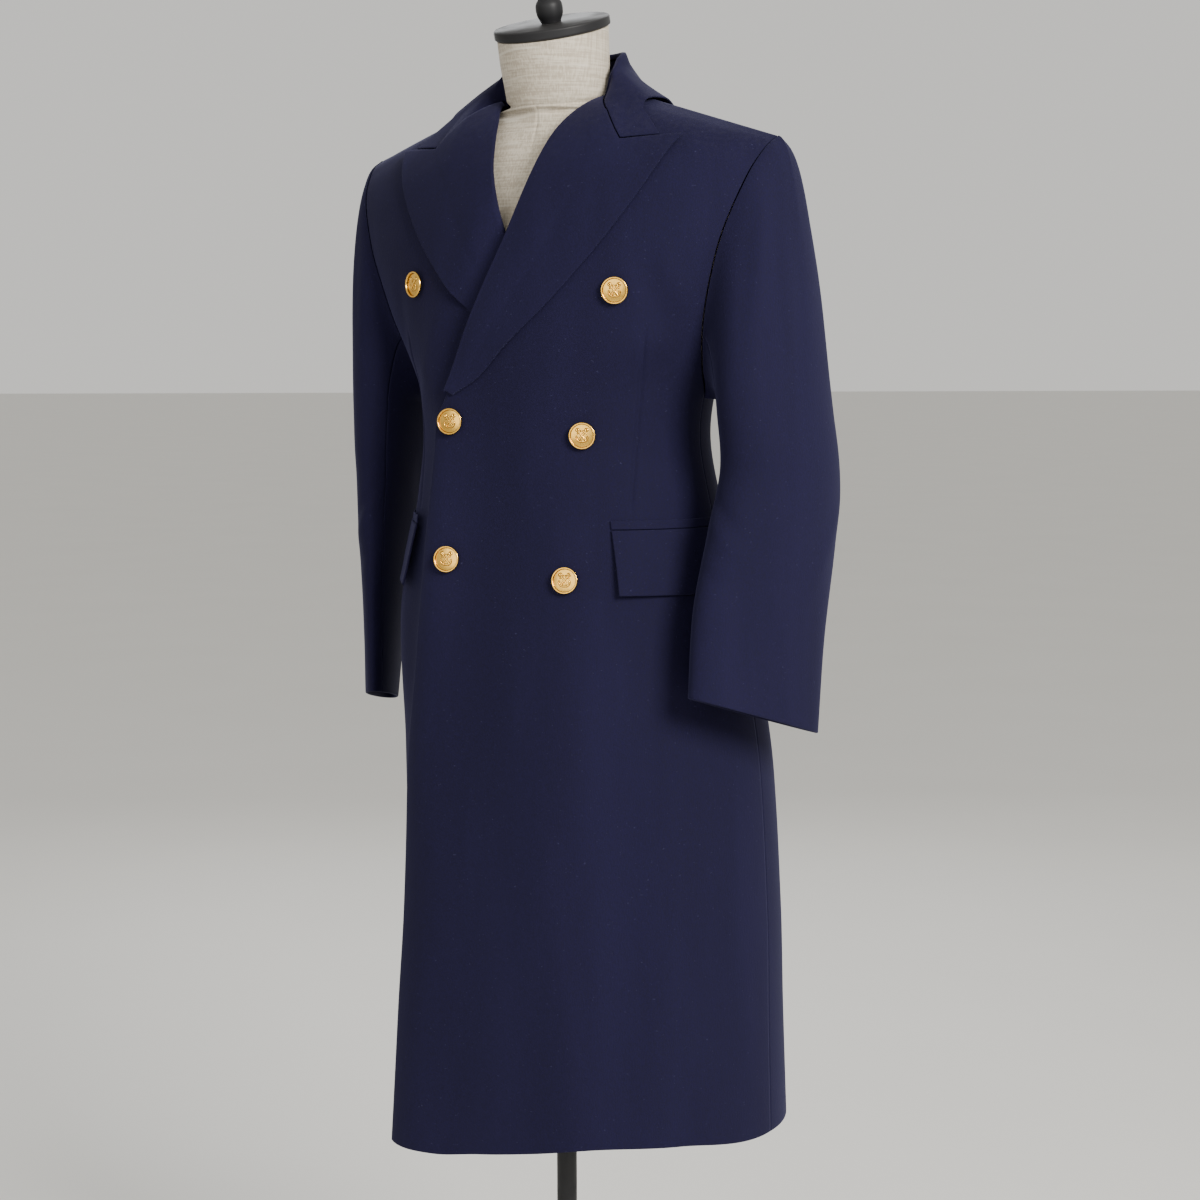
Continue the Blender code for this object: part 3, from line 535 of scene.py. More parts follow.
def clustered(count: int, centre: float, width: float, pull: float,
              samples: int = 2001) -> np.ndarray:
    """Shares from 0 to 1, closer together round a centre."""
    t = np.linspace(0.0, 1.0, samples)
    crowd = np.cumsum(1.0 + pull * np.exp(-(((t - centre) / width) ** 2)))
    crowd = (crowd - crowd[0]) / (crowd[-1] - crowd[0])
    return np.interp(np.linspace(0.0, 1.0, count), crowd, t)


# ---- shader effects ------------------------------------------------------------------
class Nodes:
    """A few short ways of placing shader nodes in one tree."""

    def __init__(self, tree: bpy.types.NodeTree) -> None:
        """Keeps the tree."""
        self.tree = tree

    def add(self, kind: str, **settings: object) -> bpy.types.Node:
        """A node of a kind with its settings."""
        node = self.tree.nodes.new(kind)
        for key, value in settings.items():
            setattr(node, key, value)
        return node

    def join(self, source: object, target: object) -> None:
        """A link from an output to an input."""
        self.tree.links.new(source, target)

    def feed(self, target: object, value: object) -> None:
        """Links a socket into an input, or sets a plain value on it."""
        if isinstance(value, bpy.types.NodeSocket):
            self.join(value, target)
        else:
            target.default_value = value

    def maths(self, kind: str, a: object, b: object = 0.5, clamp: bool = False) -> object:
        """A maths node's output."""
        node = self.add("ShaderNodeMath", operation=kind, use_clamp=clamp)
        self.feed(node.inputs[0], a)
        self.feed(node.inputs[1], b)
        return node.outputs[0]

    def times(self, a: object, b: object, clamp: bool = False) -> object:
        """A product's output."""
        return self.maths("MULTIPLY", a, b, clamp)

    def plus(self, a: object, b: object, clamp: bool = False) -> object:
        """A sum's output."""
        return self.maths("ADD", a, b, clamp)

    def noise(self, where: object, scale: object, detail: float,
              stretch: tuple = (1, 1, 1)) -> object:
        """A noise value at a place, drawn out along the axes with small stretches."""
        mapping = self.add("ShaderNodeMapping")
        self.join(where, mapping.inputs["Vector"])
        mapping.inputs["Scale"].default_value = stretch
        node = self.add("ShaderNodeTexNoise")
        self.join(mapping.outputs["Vector"], node.inputs["Vector"])
        self.feed(node.inputs["Scale"], scale)
        node.inputs["Detail"].default_value = detail
        return node.outputs["Fac"]

    def ramp(self, value: object, low: float, high: float) -> object:
        """A value spread from 0 to 1 between two limits."""
        node = self.add("ShaderNodeMapRange", interpolation_type="SMOOTHSTEP")
        self.feed(node.inputs["Value"], value)
        node.inputs["From Min"].default_value = low
        node.inputs["From Max"].default_value = high
        return node.outputs["Result"]

    def blend(self, share: object, a: object, b: object) -> object:
        """Two colours mixed by a share."""
        node = self.add("ShaderNodeMix", data_type="RGBA")
        self.feed(node.inputs[MIX_SHARE], share)
        self.feed(node.inputs[MIX_A], a)
        self.feed(node.inputs[MIX_B], b)
        return node.outputs[MIX_RESULT]


def effect(name: str, inputs: dict[str, float], outputs: tuple[str, ...]) -> tuple:
    """An empty node group with named float inputs and outputs.

    Args:
        name: the group's name.
        inputs: each input's name and usual value.
        outputs: the outputs' names.

    Returns:
        The group, its nodes helper, its input node and its output node.
    """
    group = bpy.data.node_groups.new(name, "ShaderNodeTree")
    for key, value in inputs.items():
        socket = group.interface.new_socket(key, in_out="INPUT", socket_type="NodeSocketFloat")
        socket.default_value = value
    for key in outputs:
        group.interface.new_socket(key, in_out="OUTPUT", socket_type="NodeSocketFloat")
    nodes = Nodes(group)
    return group, nodes, nodes.add("NodeGroupInput"), nodes.add("NodeGroupOutput")


class Effects:
    """The shared effects, each built once."""

    def __init__(self) -> None:
        """Builds the nap, slub, handling marks with painted hollow shade, and dust groups."""
        self.nap = self.build_nap()
        self.slub = self.build_slub()
        self.wear = self.build_wear()
        self.dust = self.build_dust()

    @staticmethod
    def build_nap() -> bpy.types.NodeTree:
        """Milled wool: brushed patches, fine felted fibres and stray pale fibres."""
        group, n, source, sink = effect(
            "milled_nap",
            {"Fibre Scale": 700.0, "Patch Scale": 11.0},
            ("Patch", "Speckle", "Stray", "Height"),
        )
        where = n.add("ShaderNodeTexCoord").outputs["Object"]
        patch = n.noise(where, source.outputs["Patch Scale"], 4.0, (1.3, 1.3, 0.22))
        fibre = n.noise(where, source.outputs["Fibre Scale"], 3.0)
        twill = n.noise(where, source.outputs["Fibre Scale"], 2.0, (1.0, 1.0, 0.3))
        stray = n.noise(where, 310.0, 1.0, (1.0, 1.0, 2.2))
        n.join(n.ramp(patch, 0.36, 0.66), sink.inputs["Patch"])
        n.join(n.ramp(fibre, 0.34, 0.68), sink.inputs["Speckle"])
        n.join(n.ramp(stray, 0.72, 0.80), sink.inputs["Stray"])
        n.join(n.plus(n.times(twill, 0.6), n.times(fibre, 0.4)), sink.inputs["Height"])
        return group

    @staticmethod
    def build_slub() -> bpy.types.NodeTree:
        """Linen: threads of uneven thickness running across and up."""
        group, n, source, sink = effect(
            "slub_weave", {"Thread Scale": 620.0}, ("Shade", "Slub", "Height")
        )
        where = n.add("ShaderNodeTexCoord").outputs["Object"]
        scale = source.outputs["Thread Scale"]
        across = n.noise(where, scale, 2.0, (0.05, 0.05, 1.0))
        upward = n.noise(where, scale, 2.0, (1.0, 1.0, 0.05))
        thick = n.noise(where, n.times(scale, 0.4), 1.0, (0.07, 0.07, 1.0))
        weave = n.plus(n.times(across, 0.5), n.times(upward, 0.5))
        slub = n.ramp(thick, 0.60, 0.74)
        n.join(n.ramp(weave, 0.38, 0.62), sink.inputs["Shade"])
        n.join(slub, sink.inputs["Slub"])
        n.join(n.plus(weave, n.times(slub, 0.35)), sink.inputs["Height"])
        return group

    @staticmethod
    def build_wear() -> bpy.types.NodeTree:
        """Handling: bare proud edges and fine rubbing marks, and a painted shade mask that darkens
        the hollows.
        """
        group, n, source, sink = effect(
            "handling_wear", {"Mark Scale": 60.0}, ("Proud", "Hollow", "Rub")
        )
        point = n.add("ShaderNodeNewGeometry").outputs["Pointiness"]
        where = n.add("ShaderNodeTexCoord").outputs["Object"]
        n.join(n.ramp(point, 0.51, 0.56), sink.inputs["Proud"])
        # Hollow Shade: painted shade where the surface is hollow, standing in for the light that
        # recesses miss.
        n.join(n.ramp(n.maths("SUBTRACT", 1.0, point), 0.502, 0.53), sink.inputs["Hollow"])
        marks = n.noise(where, source.outputs["Mark Scale"], 5.0)
        n.join(n.ramp(marks, 0.40, 0.70), sink.inputs["Rub"])
        return group

    @staticmethod
    def build_dust() -> bpy.types.NodeTree:
        """Dust that settles on faces that look up."""
        group, n, source, sink = effect("settled_dust", {"Amount": 0.10}, ("Mask",))
        split = n.add("ShaderNodeSeparateXYZ")
        n.join(n.add("ShaderNodeNewGeometry").outputs["Normal"], split.inputs[0])
        where = n.add("ShaderNodeTexCoord").outputs["Object"]
        specks = n.ramp(n.noise(where, 180.0, 4.0), 0.42, 0.66)
        facing = n.ramp(split.outputs["Z"], 0.25, 1.0)
        mask = n.times(n.times(specks, facing), source.outputs["Amount"], True)
        n.join(mask, sink.inputs["Mask"])
        return group


def place(n: Nodes, group: bpy.types.NodeTree, **values: float) -> bpy.types.Node:
    """A shared effect placed in a material with its own values."""
    node = n.add("ShaderNodeGroup", node_tree=group)
    for key, value in values.items():
        node.inputs[key.replace("_", " ").title()].default_value = value
    return node


def bumped(n: Nodes, height: object, depth: float, strength: float) -> object:
    """A bump node's normal from a height."""
    bump = n.add("ShaderNodeBump")
    bump.inputs["Distance"].default_value = depth
    bump.inputs["Strength"].default_value = strength
    n.join(height, bump.inputs["Height"])
    return bump.outputs["Normal"]


def settle(node: bpy.types.Node, **values: object) -> None:
    """Sets plain values on a node's own sockets."""
    for key, value in values.items():
        node.inputs[SOCKETS[key]].default_value = value


@dataclass(frozen=True)
class Finish:
    """A named finish; each kind paints its own shader."""

    name: str

    def make(self, effects: Effects) -> bpy.types.Material:
        """The finish as a material.

        Args:
            effects: the shared effects.

        Returns:
            The material.
        """
        made = bpy.data.materials.new(self.name)
        made.use_nodes = True
        self.paint(Nodes(made.node_tree), made.node_tree.nodes["Principled BSDF"], effects)
        return made

    def paint(self, n: Nodes, shader: bpy.types.Node, effects: Effects) -> None:
        """Lays the finish's nodes before the shader."""
        raise NotImplementedError


@dataclass(frozen=True)
class FloorFinish(Finish):
    """A plain pale floor with a faint change of tone."""

    dim: Colour = (0.66, 0.65, 0.62, 1.0)
    light: Colour = (0.70, 0.69, 0.66, 1.0)
    tone_scale: float = 2.0
    tone_detail: float = 3.0

    def paint(self, n: Nodes, shader: bpy.types.Node, effects: Effects) -> None:
        """Lays the floor's nodes before the shader."""
        where = n.add("ShaderNodeTexCoord").outputs["Object"]
        tone = n.noise(where, self.tone_scale, self.tone_detail)
        n.join(n.blend(tone, self.dim, self.light), shader.inputs["Base Color"])
        settle(shader, roughness=0.7)


@dataclass(frozen=True)
class WoolFinish(Finish):
    """Milled navy wool with a short soft nap."""

    deep: Colour = (0.0040, 0.0032, 0.0148, 1.0)
    pale: Colour = (0.0080, 0.0066, 0.0275, 1.0)
    stray: Colour = (0.030, 0.030, 0.070, 1.0)
    dust: Colour = (0.20, 0.20, 0.22, 1.0)
    sheen: Colour = (0.42, 0.42, 0.90, 1.0)
    fibre_scale: float = 700.0
    patch_scale: float = 11.0
    nap_depth: float = 0.0005
    nap_strength: float = 0.55
    patch_share: float = 0.32
    speckle_share: float = 0.60
    stray_share: float = 0.5
    dust_amount: float = 0.015
    rough: float = 0.80
    rough_speckle: float = 0.14

    def paint(self, n: Nodes, shader: bpy.types.Node, effects: Effects) -> None:
        """Lays the finish's nodes before the shader."""
        nap = place(n, effects.nap, fibre_scale=self.fibre_scale, patch_scale=self.patch_scale)
        dust = place(n, effects.dust, amount=self.dust_amount)
        share = n.times(nap.outputs["Patch"], self.patch_share)
        share = n.plus(share, n.times(nap.outputs["Speckle"], self.speckle_share), True)
        colour = n.blend(share, self.deep, self.pale)
        colour = n.blend(n.times(nap.outputs["Stray"], self.stray_share), colour, self.stray)
        colour = n.blend(dust.outputs["Mask"], colour, self.dust)
        n.join(colour, shader.inputs["Base Color"])
        rough = n.plus(self.rough, n.times(nap.outputs["Speckle"], self.rough_speckle))
        n.join(rough, shader.inputs["Roughness"])
        normal = bumped(n, nap.outputs["Height"], self.nap_depth, self.nap_strength)
        n.join(normal, shader.inputs["Normal"])
        settle(shader, specular=0.12, sheen=0.07, sheen_roughness=0.45, sheen_tint=self.sheen)


@dataclass(frozen=True)
class LinenFinish(Finish):
    """Natural linen with slubs both ways."""

    pale: Colour = (0.50, 0.445, 0.355, 1.0)
    deep: Colour = (0.35, 0.300, 0.230, 1.0)
    thick: Colour = (0.58, 0.535, 0.445, 1.0)
    thread_scale: float = 620.0
    mark_scale: float = 14.0
    slub_share: float = 0.6
    rub_share: float = 0.14
    rough: float = 0.82
    rough_shade: float = 0.12
    weave_depth: float = 0.0007
    weave_strength: float = 0.7

    def paint(self, n: Nodes, shader: bpy.types.Node, effects: Effects) -> None:
        """Lays the finish's nodes before the shader."""
        weave = place(n, effects.slub, thread_scale=self.thread_scale)
        wear = place(n, effects.wear, mark_scale=self.mark_scale)
        colour = n.blend(weave.outputs["Shade"], self.deep, self.pale)
        colour = n.blend(n.times(weave.outputs["Slub"], self.slub_share), colour, self.thick)
        colour = n.blend(n.times(wear.outputs["Rub"], self.rub_share), colour, self.deep)
        n.join(colour, shader.inputs["Base Color"])
        rough = n.plus(self.rough, n.times(weave.outputs["Shade"], self.rough_shade))
        n.join(rough, shader.inputs["Roughness"])
        normal = bumped(n, weave.outputs["Height"], self.weave_depth, self.weave_strength)
        n.join(normal, shader.inputs["Normal"])
        settle(shader, sheen=0.08)


@dataclass(frozen=True)
class GiltFinish(Finish):
    """Bright gilt metal, its hollows darkened with painted shade, and a few rubbing marks."""

    bright: Colour = (0.86, 0.50, 0.095, 1.0)
    # Dark colour for the painted shade in the hollows and for the rub marks.
    shade_and_rub_colour: Colour = (0.13, 0.055, 0.008, 1.0)
    mark_scale: float = 420.0
    hollow_shade_share: float = 0.90
    rub_share: float = 0.10
    rough: float = 0.20
    rough_rub: float = 0.08
    polish: float = 0.06

    def paint(self, n: Nodes, shader: bpy.types.Node, effects: Effects) -> None:
        """Lays the finish's nodes before the shader."""
        wear = place(n, effects.wear, mark_scale=self.mark_scale)
        # Painted shade: the relief's hollows are mixed toward the dark colour, with real rub marks
        # added on top.
        hollow_shade_and_rub = n.times(wear.outputs["Hollow"], self.hollow_shade_share)
        hollow_shade_and_rub = n.plus(hollow_shade_and_rub, n.times(wear.outputs["Rub"], self.rub_share), True)
        n.join(n.blend(hollow_shade_and_rub, self.bright, self.shade_and_rub_colour), shader.inputs["Base Color"])
        rough = n.plus(self.rough, n.times(wear.outputs["Rub"], self.rough_rub))
        rough = n.maths("SUBTRACT", rough, n.times(wear.outputs["Proud"], self.polish), True)
        n.join(rough, shader.inputs["Roughness"])
        settle(shader, metallic=1.0)


@dataclass(frozen=True)
class BlackFinish(Finish):
    """A black coating over wood or metal."""

    base: Colour
    worn: Colour
    roughness: float
    gloss: float
    mark_scale: float
    dust_amount: float
    dust: Colour = (0.30, 0.29, 0.27, 1.0)
    worn_share: float = 0.5
    rough_rub: float = 0.16
    mark_depth: float = 0.0001
    mark_strength: float = 0.15

    def paint(self, n: Nodes, shader: bpy.types.Node, effects: Effects) -> None:
        """Lays the finish's nodes before the shader."""
        wear = place(n, effects.wear, mark_scale=self.mark_scale)
        dust = place(n, effects.dust, amount=self.dust_amount)
        colour = n.blend(n.times(wear.outputs["Proud"], self.worn_share), self.base, self.worn)
        colour = n.blend(dust.outputs["Mask"], colour, self.dust)
        n.join(colour, shader.inputs["Base Color"])
        rough = n.plus(self.roughness, n.times(wear.outputs["Rub"], self.rough_rub))
        n.join(rough, shader.inputs["Roughness"])
        normal = bumped(n, wear.outputs["Rub"], self.mark_depth, self.mark_strength)
        n.join(normal, shader.inputs["Normal"])
        settle(shader, coat=self.gloss, coat_roughness=0.2, specular=0.22)


# ---- the coat's pieces ---------------------------------------------------------------
@dataclass(frozen=True)
class Cut:
    """A piece's cloth before it was sewn: its flat size in metres and what it hangs on."""

    flat: tuple[float, float]
    area: float
    rests_on: tuple[str, ...]


def dress(piece: bpy.types.Object, node: str, finish: bpy.types.Material) -> None:
    """Gives a piece its finish and lets it stand for its solid.

    Args:
        piece: the new object.
        node: the solid that it stands for.
        finish: its material.
    """
    piece.data.materials.append(finish)
    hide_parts(node)
    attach(piece, "root")
    LOG.info("%s: %d faces for %s", piece.name, len(piece.data.polygons), node)


def dress_cloth(piece: bpy.types.Object, node: str, wool: bpy.types.Material) -> None:
    """Dresses a wool piece.

    Args:
        piece: the new object.
        node: the solid that it stands for.
        wool: its material.
    """
    dress(piece, node, wool)


@dataclass
class Panels:
    """The two fronts and the two backs."""

    body: CoatBody
    cloth: float = 2.4
    front_columns: int = 132
    back_columns: int = 92
    dart_share: float = 0.68
    dart: tuple[tuple[float, float], ...] = ((132.0, 1270.0), (116.0, 1175.0), (114.0, 1086.0))
    dart_width: float = 1.7
    dart_depth: float = 1.5
    dart_fade: tuple[float, float] = (26.0, 14.0)
    dart_swell: tuple[float, float] = (0.5, 11.0)
    cluster: tuple[float, float] = (0.06, 1.6)
    neck_dip: float = 13.0
    neck_turn: float = 12.0
    front_rims: Rims = Rims(1.1, 0.3, 1.1, 0.3)
    back_rims: Rims = Rims(1.1, 0.3, 0.3, 0.3)
    front_cut: Cut = Cut((0.42, 1.04), 0.33, ("dress_form",))
    back_cut: Cut = Cut((0.31, 1.02), 0.26, ("dress_form",))

    def dart_groove(self, x: np.ndarray, level: np.ndarray) -> np.ndarray:
        """How far the sewn dart draws the cloth in at each place."""
        xs, levels = np.array(self.dart).T
        line = smooth(levels[::-1], xs[::-1], level)
        above, below = self.dart_fade
        ends = step_between(level, levels[-1], levels[-1] + below)
        ends = ends * (1.0 - step_between(level, levels[0] - above, levels[0]))
        fold = np.exp(-(((np.abs(x) - line) / self.dart_width) ** 2))
        swell = np.exp(-(((np.abs(x) - line) / self.dart_swell[1]) ** 2))
        return (self.dart_depth * fold - self.dart_swell[0] * swell) * ends

    @staticmethod
    def seam_normals(line: np.ndarray, turn: float) -> np.ndarray:
        """Unit normals of a seam line, square to it and to the Y axis."""
        run = np.gradient(line, axis=0)
        return unit(np.stack((run[:, 2], 0 * run[:, 0], -run[:, 0]), -1)) * turn

    def joined(self, grid: np.ndarray, away: np.ndarray, side: Side, toward: float) -> None:
        """Matches a panel to its neighbours at the side and shoulder seams.

        Args:
            grid: the panel's points, changed in place.
            away: its unit normals, changed in place.
            side: the wearer's side.
            toward: -1 for a front, 1 for a back.
        """
        body, sign = self.body, side.value
        below = body.levels() <= body.underarm
        away[below, -1] = self.seam_normals(grid[:, -1], sign)[below]
        met = np.abs(grid[-1, :, 0]) > body.neck_half - self.neck_turn
        away[-1, met] = self.seam_normals(grid[-1], -sign)[met]
        grid[below, -1, 1] += toward * body.seam_half
        grid[-1, :, 1] += toward * body.seam_half

    def front(self, side: Side) -> bpy.types.Object:
        """A front from its edge to the side seam, and up to the shoulder seam."""
        body, sign = self.body, side.value
        levels = body.levels()
        share = clustered(self.front_columns, self.dart_share, *self.cluster)[None, :]
        level = levels[:, None] + 0 * share
        inner_x = sign * body.edge_x(level)
        first = np.degrees(np.arcsin(np.clip(inner_x / body.reach(level, inner_x), -1, 1)))
        turn = first + (sign * body.sizes.at("angle", level) - first) * share
        x = body.reach(level, turn) * np.sin(np.radians(turn))
        grid = body.at_x(level, x, Face.FRONT)
        grid[..., 2] += body.hem_lift(level, grid[..., 0])
        away = normals(grid) * sign
        self.joined(grid, away, side, -1.0)
        rise = body.creased(level, x, Face.FRONT) - self.dart_groove(x, level)
        if side is Side.RIGHT:
            rise = rise - body.overlap_drop * body.under_left(x, level)
        grid = grid + away * rise[..., None]
        rims = self.front_rims
        if side is Side.RIGHT:
            grid, away, rims = grid[:, ::-1], away[:, ::-1], rims.mirrored()
        return cloth_shell(f"coat_front_{side.hand}", grid, grid - away * self.cloth, rims)

    def back(self, side: Side) -> bpy.types.Object:
        """A back from the centre seam to the side seam."""
        body, sign = self.body, side.value
        share = np.linspace(0.0, 1.0, self.back_columns)[None, :]
        level = body.levels()[:, None] + 0 * share
        turn = sign * body.sizes.at("angle", level) * share
        x = body.reach(level, sign + 0 * turn) * np.sin(np.radians(turn))
        inside = np.clip(1.0 - (x / body.neck_half) ** 2, 0.0, 1.0)
        top = body.neck_height - self.neck_dip * np.sqrt(inside)
        scale = (top - body.underarm) / (body.neck_height - body.underarm)
        above = body.underarm + (level - body.underarm) * scale
        level = np.where(level > body.underarm, above, level)
        grid = body.at_x(level, x, Face.BACK)
        grid[..., 2] += body.hem_lift(level, x[:, -1:]) * share**2
        grid[..., 0] += sign * body.seam_half * (np.arange(self.back_columns) == 0)
        away = normals(grid) * -sign
        away[:, 0, 0] = 0.0
        self.joined(grid, away, side, 1.0)
        grid = grid + away * body.creased(level, x, Face.BACK)[..., None]
        if side is Side.LEFT:
            grid, away = grid[:, ::-1], away[:, ::-1]
        return cloth_shell(f"coat_back_{side.hand}", grid, grid - away * self.cloth, self.back_rims)

    def build(self, wool: bpy.types.Material) -> None:
        """Builds and dresses the four panels."""
        for side in Side:
            for piece, part, cut in (
                (self.front(side), "front", self.front_cut),
                (self.back(side), "back", self.back_cut),
            ):
                dress_cloth(piece, f"{part}_{side.hand}", wool)


@dataclass
class Lapels:
    """The turned peaked lapels."""

    body: CoatBody
    cloth: float = 2.0
    top: float = 1473.6
    corner_share: float = 0.45
    corner_dip: float = 29.0
    lift: float = 3.1
    spring: tuple[float, float] = (1.6, 1.4)
    spring_end: float = 0.5
    grown: tuple[float, float] = (1200.0, 1300.0)
    top_lift: float = 0.8
    top_fade: tuple[float, float] = (1425.0, 1460.0)
    dip_from: float = 1395.0
    uncovered_lift: float = 6.0
    under_roll: float = 3.0
    long_rows: tuple[float, float, int] = (1202.0, 1440.0, 74)
    top_rows: tuple[float, int] = (1442.5, 16)
    columns: tuple[int, int] = (26, 32)
    turn_steps: int = 12
    roll: tuple[tuple[float, float], ...] = ((3.5, -1.2), (3.8, 0.9), (2.4, 3.2))
    rims: Rims = Rims(0.8, 0.5, 0.9, 0.9)
    edge: Table = Table(
        ("roll", "x", "height"),
        (
            (1200, -56, 1197), (1225, -30, 1213), (1264, 2, 1243),
            (1310, 45, 1281), (1355, 80, 1319), (1401, 109, 1362),
            (1440, 133, 1408), (1474, 151, 1455),
        ),
    )
    cut: Cut = Cut((0.16, 0.33), 0.026, ("coat_front_{hand}",))

    def place(self, roll: np.ndarray, share: np.ndarray) -> tuple[np.ndarray, np.ndarray]:
        """x and level on the left lapel: share 0 is the roll line, 1 the outer edge."""
        start_x = self.body.edge_x(roll)
        hat = np.minimum(share / self.corner_share, (1.0 - share) / (1.0 - self.corner_share))
        dip = self.corner_dip * step_between(roll, self.dip_from, self.top) * np.maximum(hat, 0.0)
        x = start_x + (self.edge.at("x", roll) - start_x) * share
        return x, roll + (self.edge.at("height", roll) - roll) * share - dip

    def lapel(self, side: Side) -> bpy.types.Object:
        """A lapel, rolled over its front's edge and lying on the front."""
        body, sign = self.body, side.value
        peak = np.linspace(self.top_rows[0], self.top, self.top_rows[1])
        rolls = np.concatenate((np.linspace(*self.long_rows), peak))
        near = np.linspace(0, self.corner_share, self.columns[0])
        shares = np.concatenate((near, np.linspace(self.corner_share, 1, self.columns[1])[1:]))
        roll, share = np.broadcast_arrays(rolls[:, None], shares[None, :])
        x, level = self.place(roll, share)
        spring = self.spring[0] * np.sin(np.pi * np.clip(share / self.spring_end, 0, 1))
        spring = spring + self.spring[1] * share**2
        lift = self.lift + spring * step_between(roll, *self.grown)
        lift = lift + self.top_lift * step_between(roll, *self.top_fade)
        if side is Side.RIGHT:
            covered = body.under_left(-x, level)
            free = self.uncovered_lift * (1.0 - covered)
            lift = np.minimum(lift, self.lift + free) - body.overlap_drop * covered
            lift = lift + self.uncovered_lift * covered * (1.0 - covered)
        flat = body.lifted(sign * x, level, Face.FRONT, lift)
        line = body.edge_x(rolls)
        bends = []
        for beyond, rise in self.roll:
            base = 0.0 * line
            if side is Side.RIGHT:
                base = -body.overlap_drop * body.under_left(-line, rolls)
                rise = min(rise, self.under_roll)
            bends.append(body.lifted(sign * (line - beyond), rolls, Face.FRONT, base + rise))
        grid = led_in(np.stack(bends, 1), flat, self.turn_steps)
        if side is Side.RIGHT:
            grid = grid[:, ::-1]
        under = grid - normals(grid) * self.cloth
        return cloth_shell(f"coat_lapel_{side.hand}", grid, under, self.rims)

    def build(self, wool: bpy.types.Material) -> None:
        """Builds and dresses both lapels."""
        for side in Side:
            dress_cloth(self.lapel(side), f"lapel_{side.hand}", wool)


@dataclass
class Collar:
    """The collar's turned leaf and the stand inside it."""

    body: CoatBody
    lapels: Lapels
    cloth: float = 1.6
    reach: float = 0.80
    gap: float = 0.35
    lift: float = 4.2
    rims: Rims = Rims(0.5, 0.5, 0.8, 0.5)
    stations: tuple[float, ...] = (0.0, 0.1, 0.2, 0.3, 0.4, 0.5, 0.6, 0.7, 0.8, 0.86, 0.93, 1.0)
    shoulder_share: float = 0.66
    ridge: tuple[float, float] = (4.0, 0.10)
    arch: float = 2.5
    hollow: tuple[float, float, float] = (8.5, 0.50, 0.16)
    arch_power: float = 0.8
    first_fall: float = 0.12
    fall_rows: tuple[int, int] = (14, 15)
    turn_steps: int = 16
    fine: int = 6
    stand_end: float = 0.76
    stand_columns: int = 48
    stand_rows: int = 14
    foot_rise: float = 1.5
    roll_drop: float = 5.6
    path: Table = Table(
        (
            "share", "stand_x", "stand_y", "stand_z", "roll_x", "roll_y", "roll_z",
            "fall_x", "fall_height",
        ),
        (
            (0.00, 0, 61, 1470, 0, 53, 1522, 0, 1453),
            (0.22, 38, 53, 1471, 33, 46, 1522, 52, 1454),
            (0.44, 64, 31, 1475, 53, 26, 1520, 83, 1460),
            (0.62, 71, 10, 1480, 58.5, 6, 1512, 97, 1477),
            (0.80, 70, -8, 1479, 61, -12, 1497, 105, 1467),
        ),
    )
    bend: tuple = (
        ((-2.6, -4.2), (-2.9, -1), (-1.2, 1.2), (1.6, 1.2)),
        ((-1, -4.2), (-1.3, -1.4), (-0.4, -0.3), (1, -0.5)),
    )
    end_bend: tuple = (
        ((3.8, -2.6), (3.9, 0.4), (2.7, 3), (0.2, 4.3)),
        ((2.2, -2.6), (2.3, 0), (1.7, 1.5), (0, 2.7)),
    )
    leaf_cut: Cut = Cut((0.48, 0.09), 0.029, ("coat_back_left", "coat_back_right"))
    stand_cut: Cut = Cut((0.25, 0.042), 0.0088, ("coat_back_left", "coat_back_right"))

    def along(self, share: np.ndarray, part: str) -> np.ndarray:
        """Points of the stand's foot or the roll round the neck, left side positive."""
        sign, key = np.sign(share), np.abs(share)
        x = self.path.at(part + "_x", key) * sign
        return np.stack((x, self.path.at(part + "_y", key), self.path.at(part + "_z", key)), -1)

    def falls(self) -> np.ndarray:
        """Shares down the leaf, with one at the lapel's corner."""
        corner = self.lapels.corner_share / self.reach
        near, far = self.fall_rows
        upper = np.linspace(self.first_fall, corner, near)
        return np.concatenate((upper, np.linspace(corner, 1.0, far)[1:]))

    def section(self, share: float, sign: float, inner: int) -> tuple[np.ndarray, np.ndarray]:
        """The turn and the fall of one section of the leaf.

        Args:
            share: how far round from the centre back.
            sign: the wearer's side.
            inner: 0 for the outer face, 1 for the inner.

        Returns:
            The few points of the turn and the dense points of the fall.
        """
        falls = self.falls()
        if share <= self.reach:
            roll = self.along(np.array(sign * max(share, TINY)), "roll")
            face = Face.FRONT if share > self.shoulder_share else Face.BACK
            height, width = self.ridge
            ridge = height * math.exp(-(((share - self.shoulder_share) / width) ** 2))
            x, level = sign * self.path.at("fall_x", share), self.path.at("fall_height", share)
            out = self.body.lifted(x, level, face, self.lift + ridge) - roll
            across = out * np.array((1.0, 1.0, 0.0)) / math.hypot(out[0], out[1])
            up = np.array((0.0, 0.0, 1.0))
            off = up - out * (out[2] / (out @ out))
            off = off * (-self.cloth * inner / np.linalg.norm(off))
            deep, place, width = self.hollow
            arch = self.arch - deep * math.exp(-(((share - place) / width) ** 2))
            p = falls[:, None]
            fall = roll + off + out * p + up * arch * np.sin(math.pi * p**self.arch_power)
            return np.array([roll + across * a + up * z for a, z in self.bend[inner]]), fall
        x, level = self.lapels.place(np.full(falls.shape, self.lapels.top), falls * self.reach)
        above = 4 * self.gap
        lift = self.lift - self.cloth * inner
        lying = self.body.lifted(sign * x, level + above, Face.FRONT, lift)
        top_x, top_level = self.lapels.place(np.array(self.lapels.top), np.array(0.0))
        top_level = top_level + above
        turn = [
            self.body.lifted(sign * (top_x - beyond), top_level, Face.FRONT, rise)
            for beyond, rise in self.end_bend[inner]
        ]
        t = (share - self.reach) / (1.0 - self.reach)
        near_turn, near_fall = self.section(self.reach, sign, inner)
        return near_turn * (1 - t) + np.array(turn) * t, near_fall * (1 - t) + lying * t

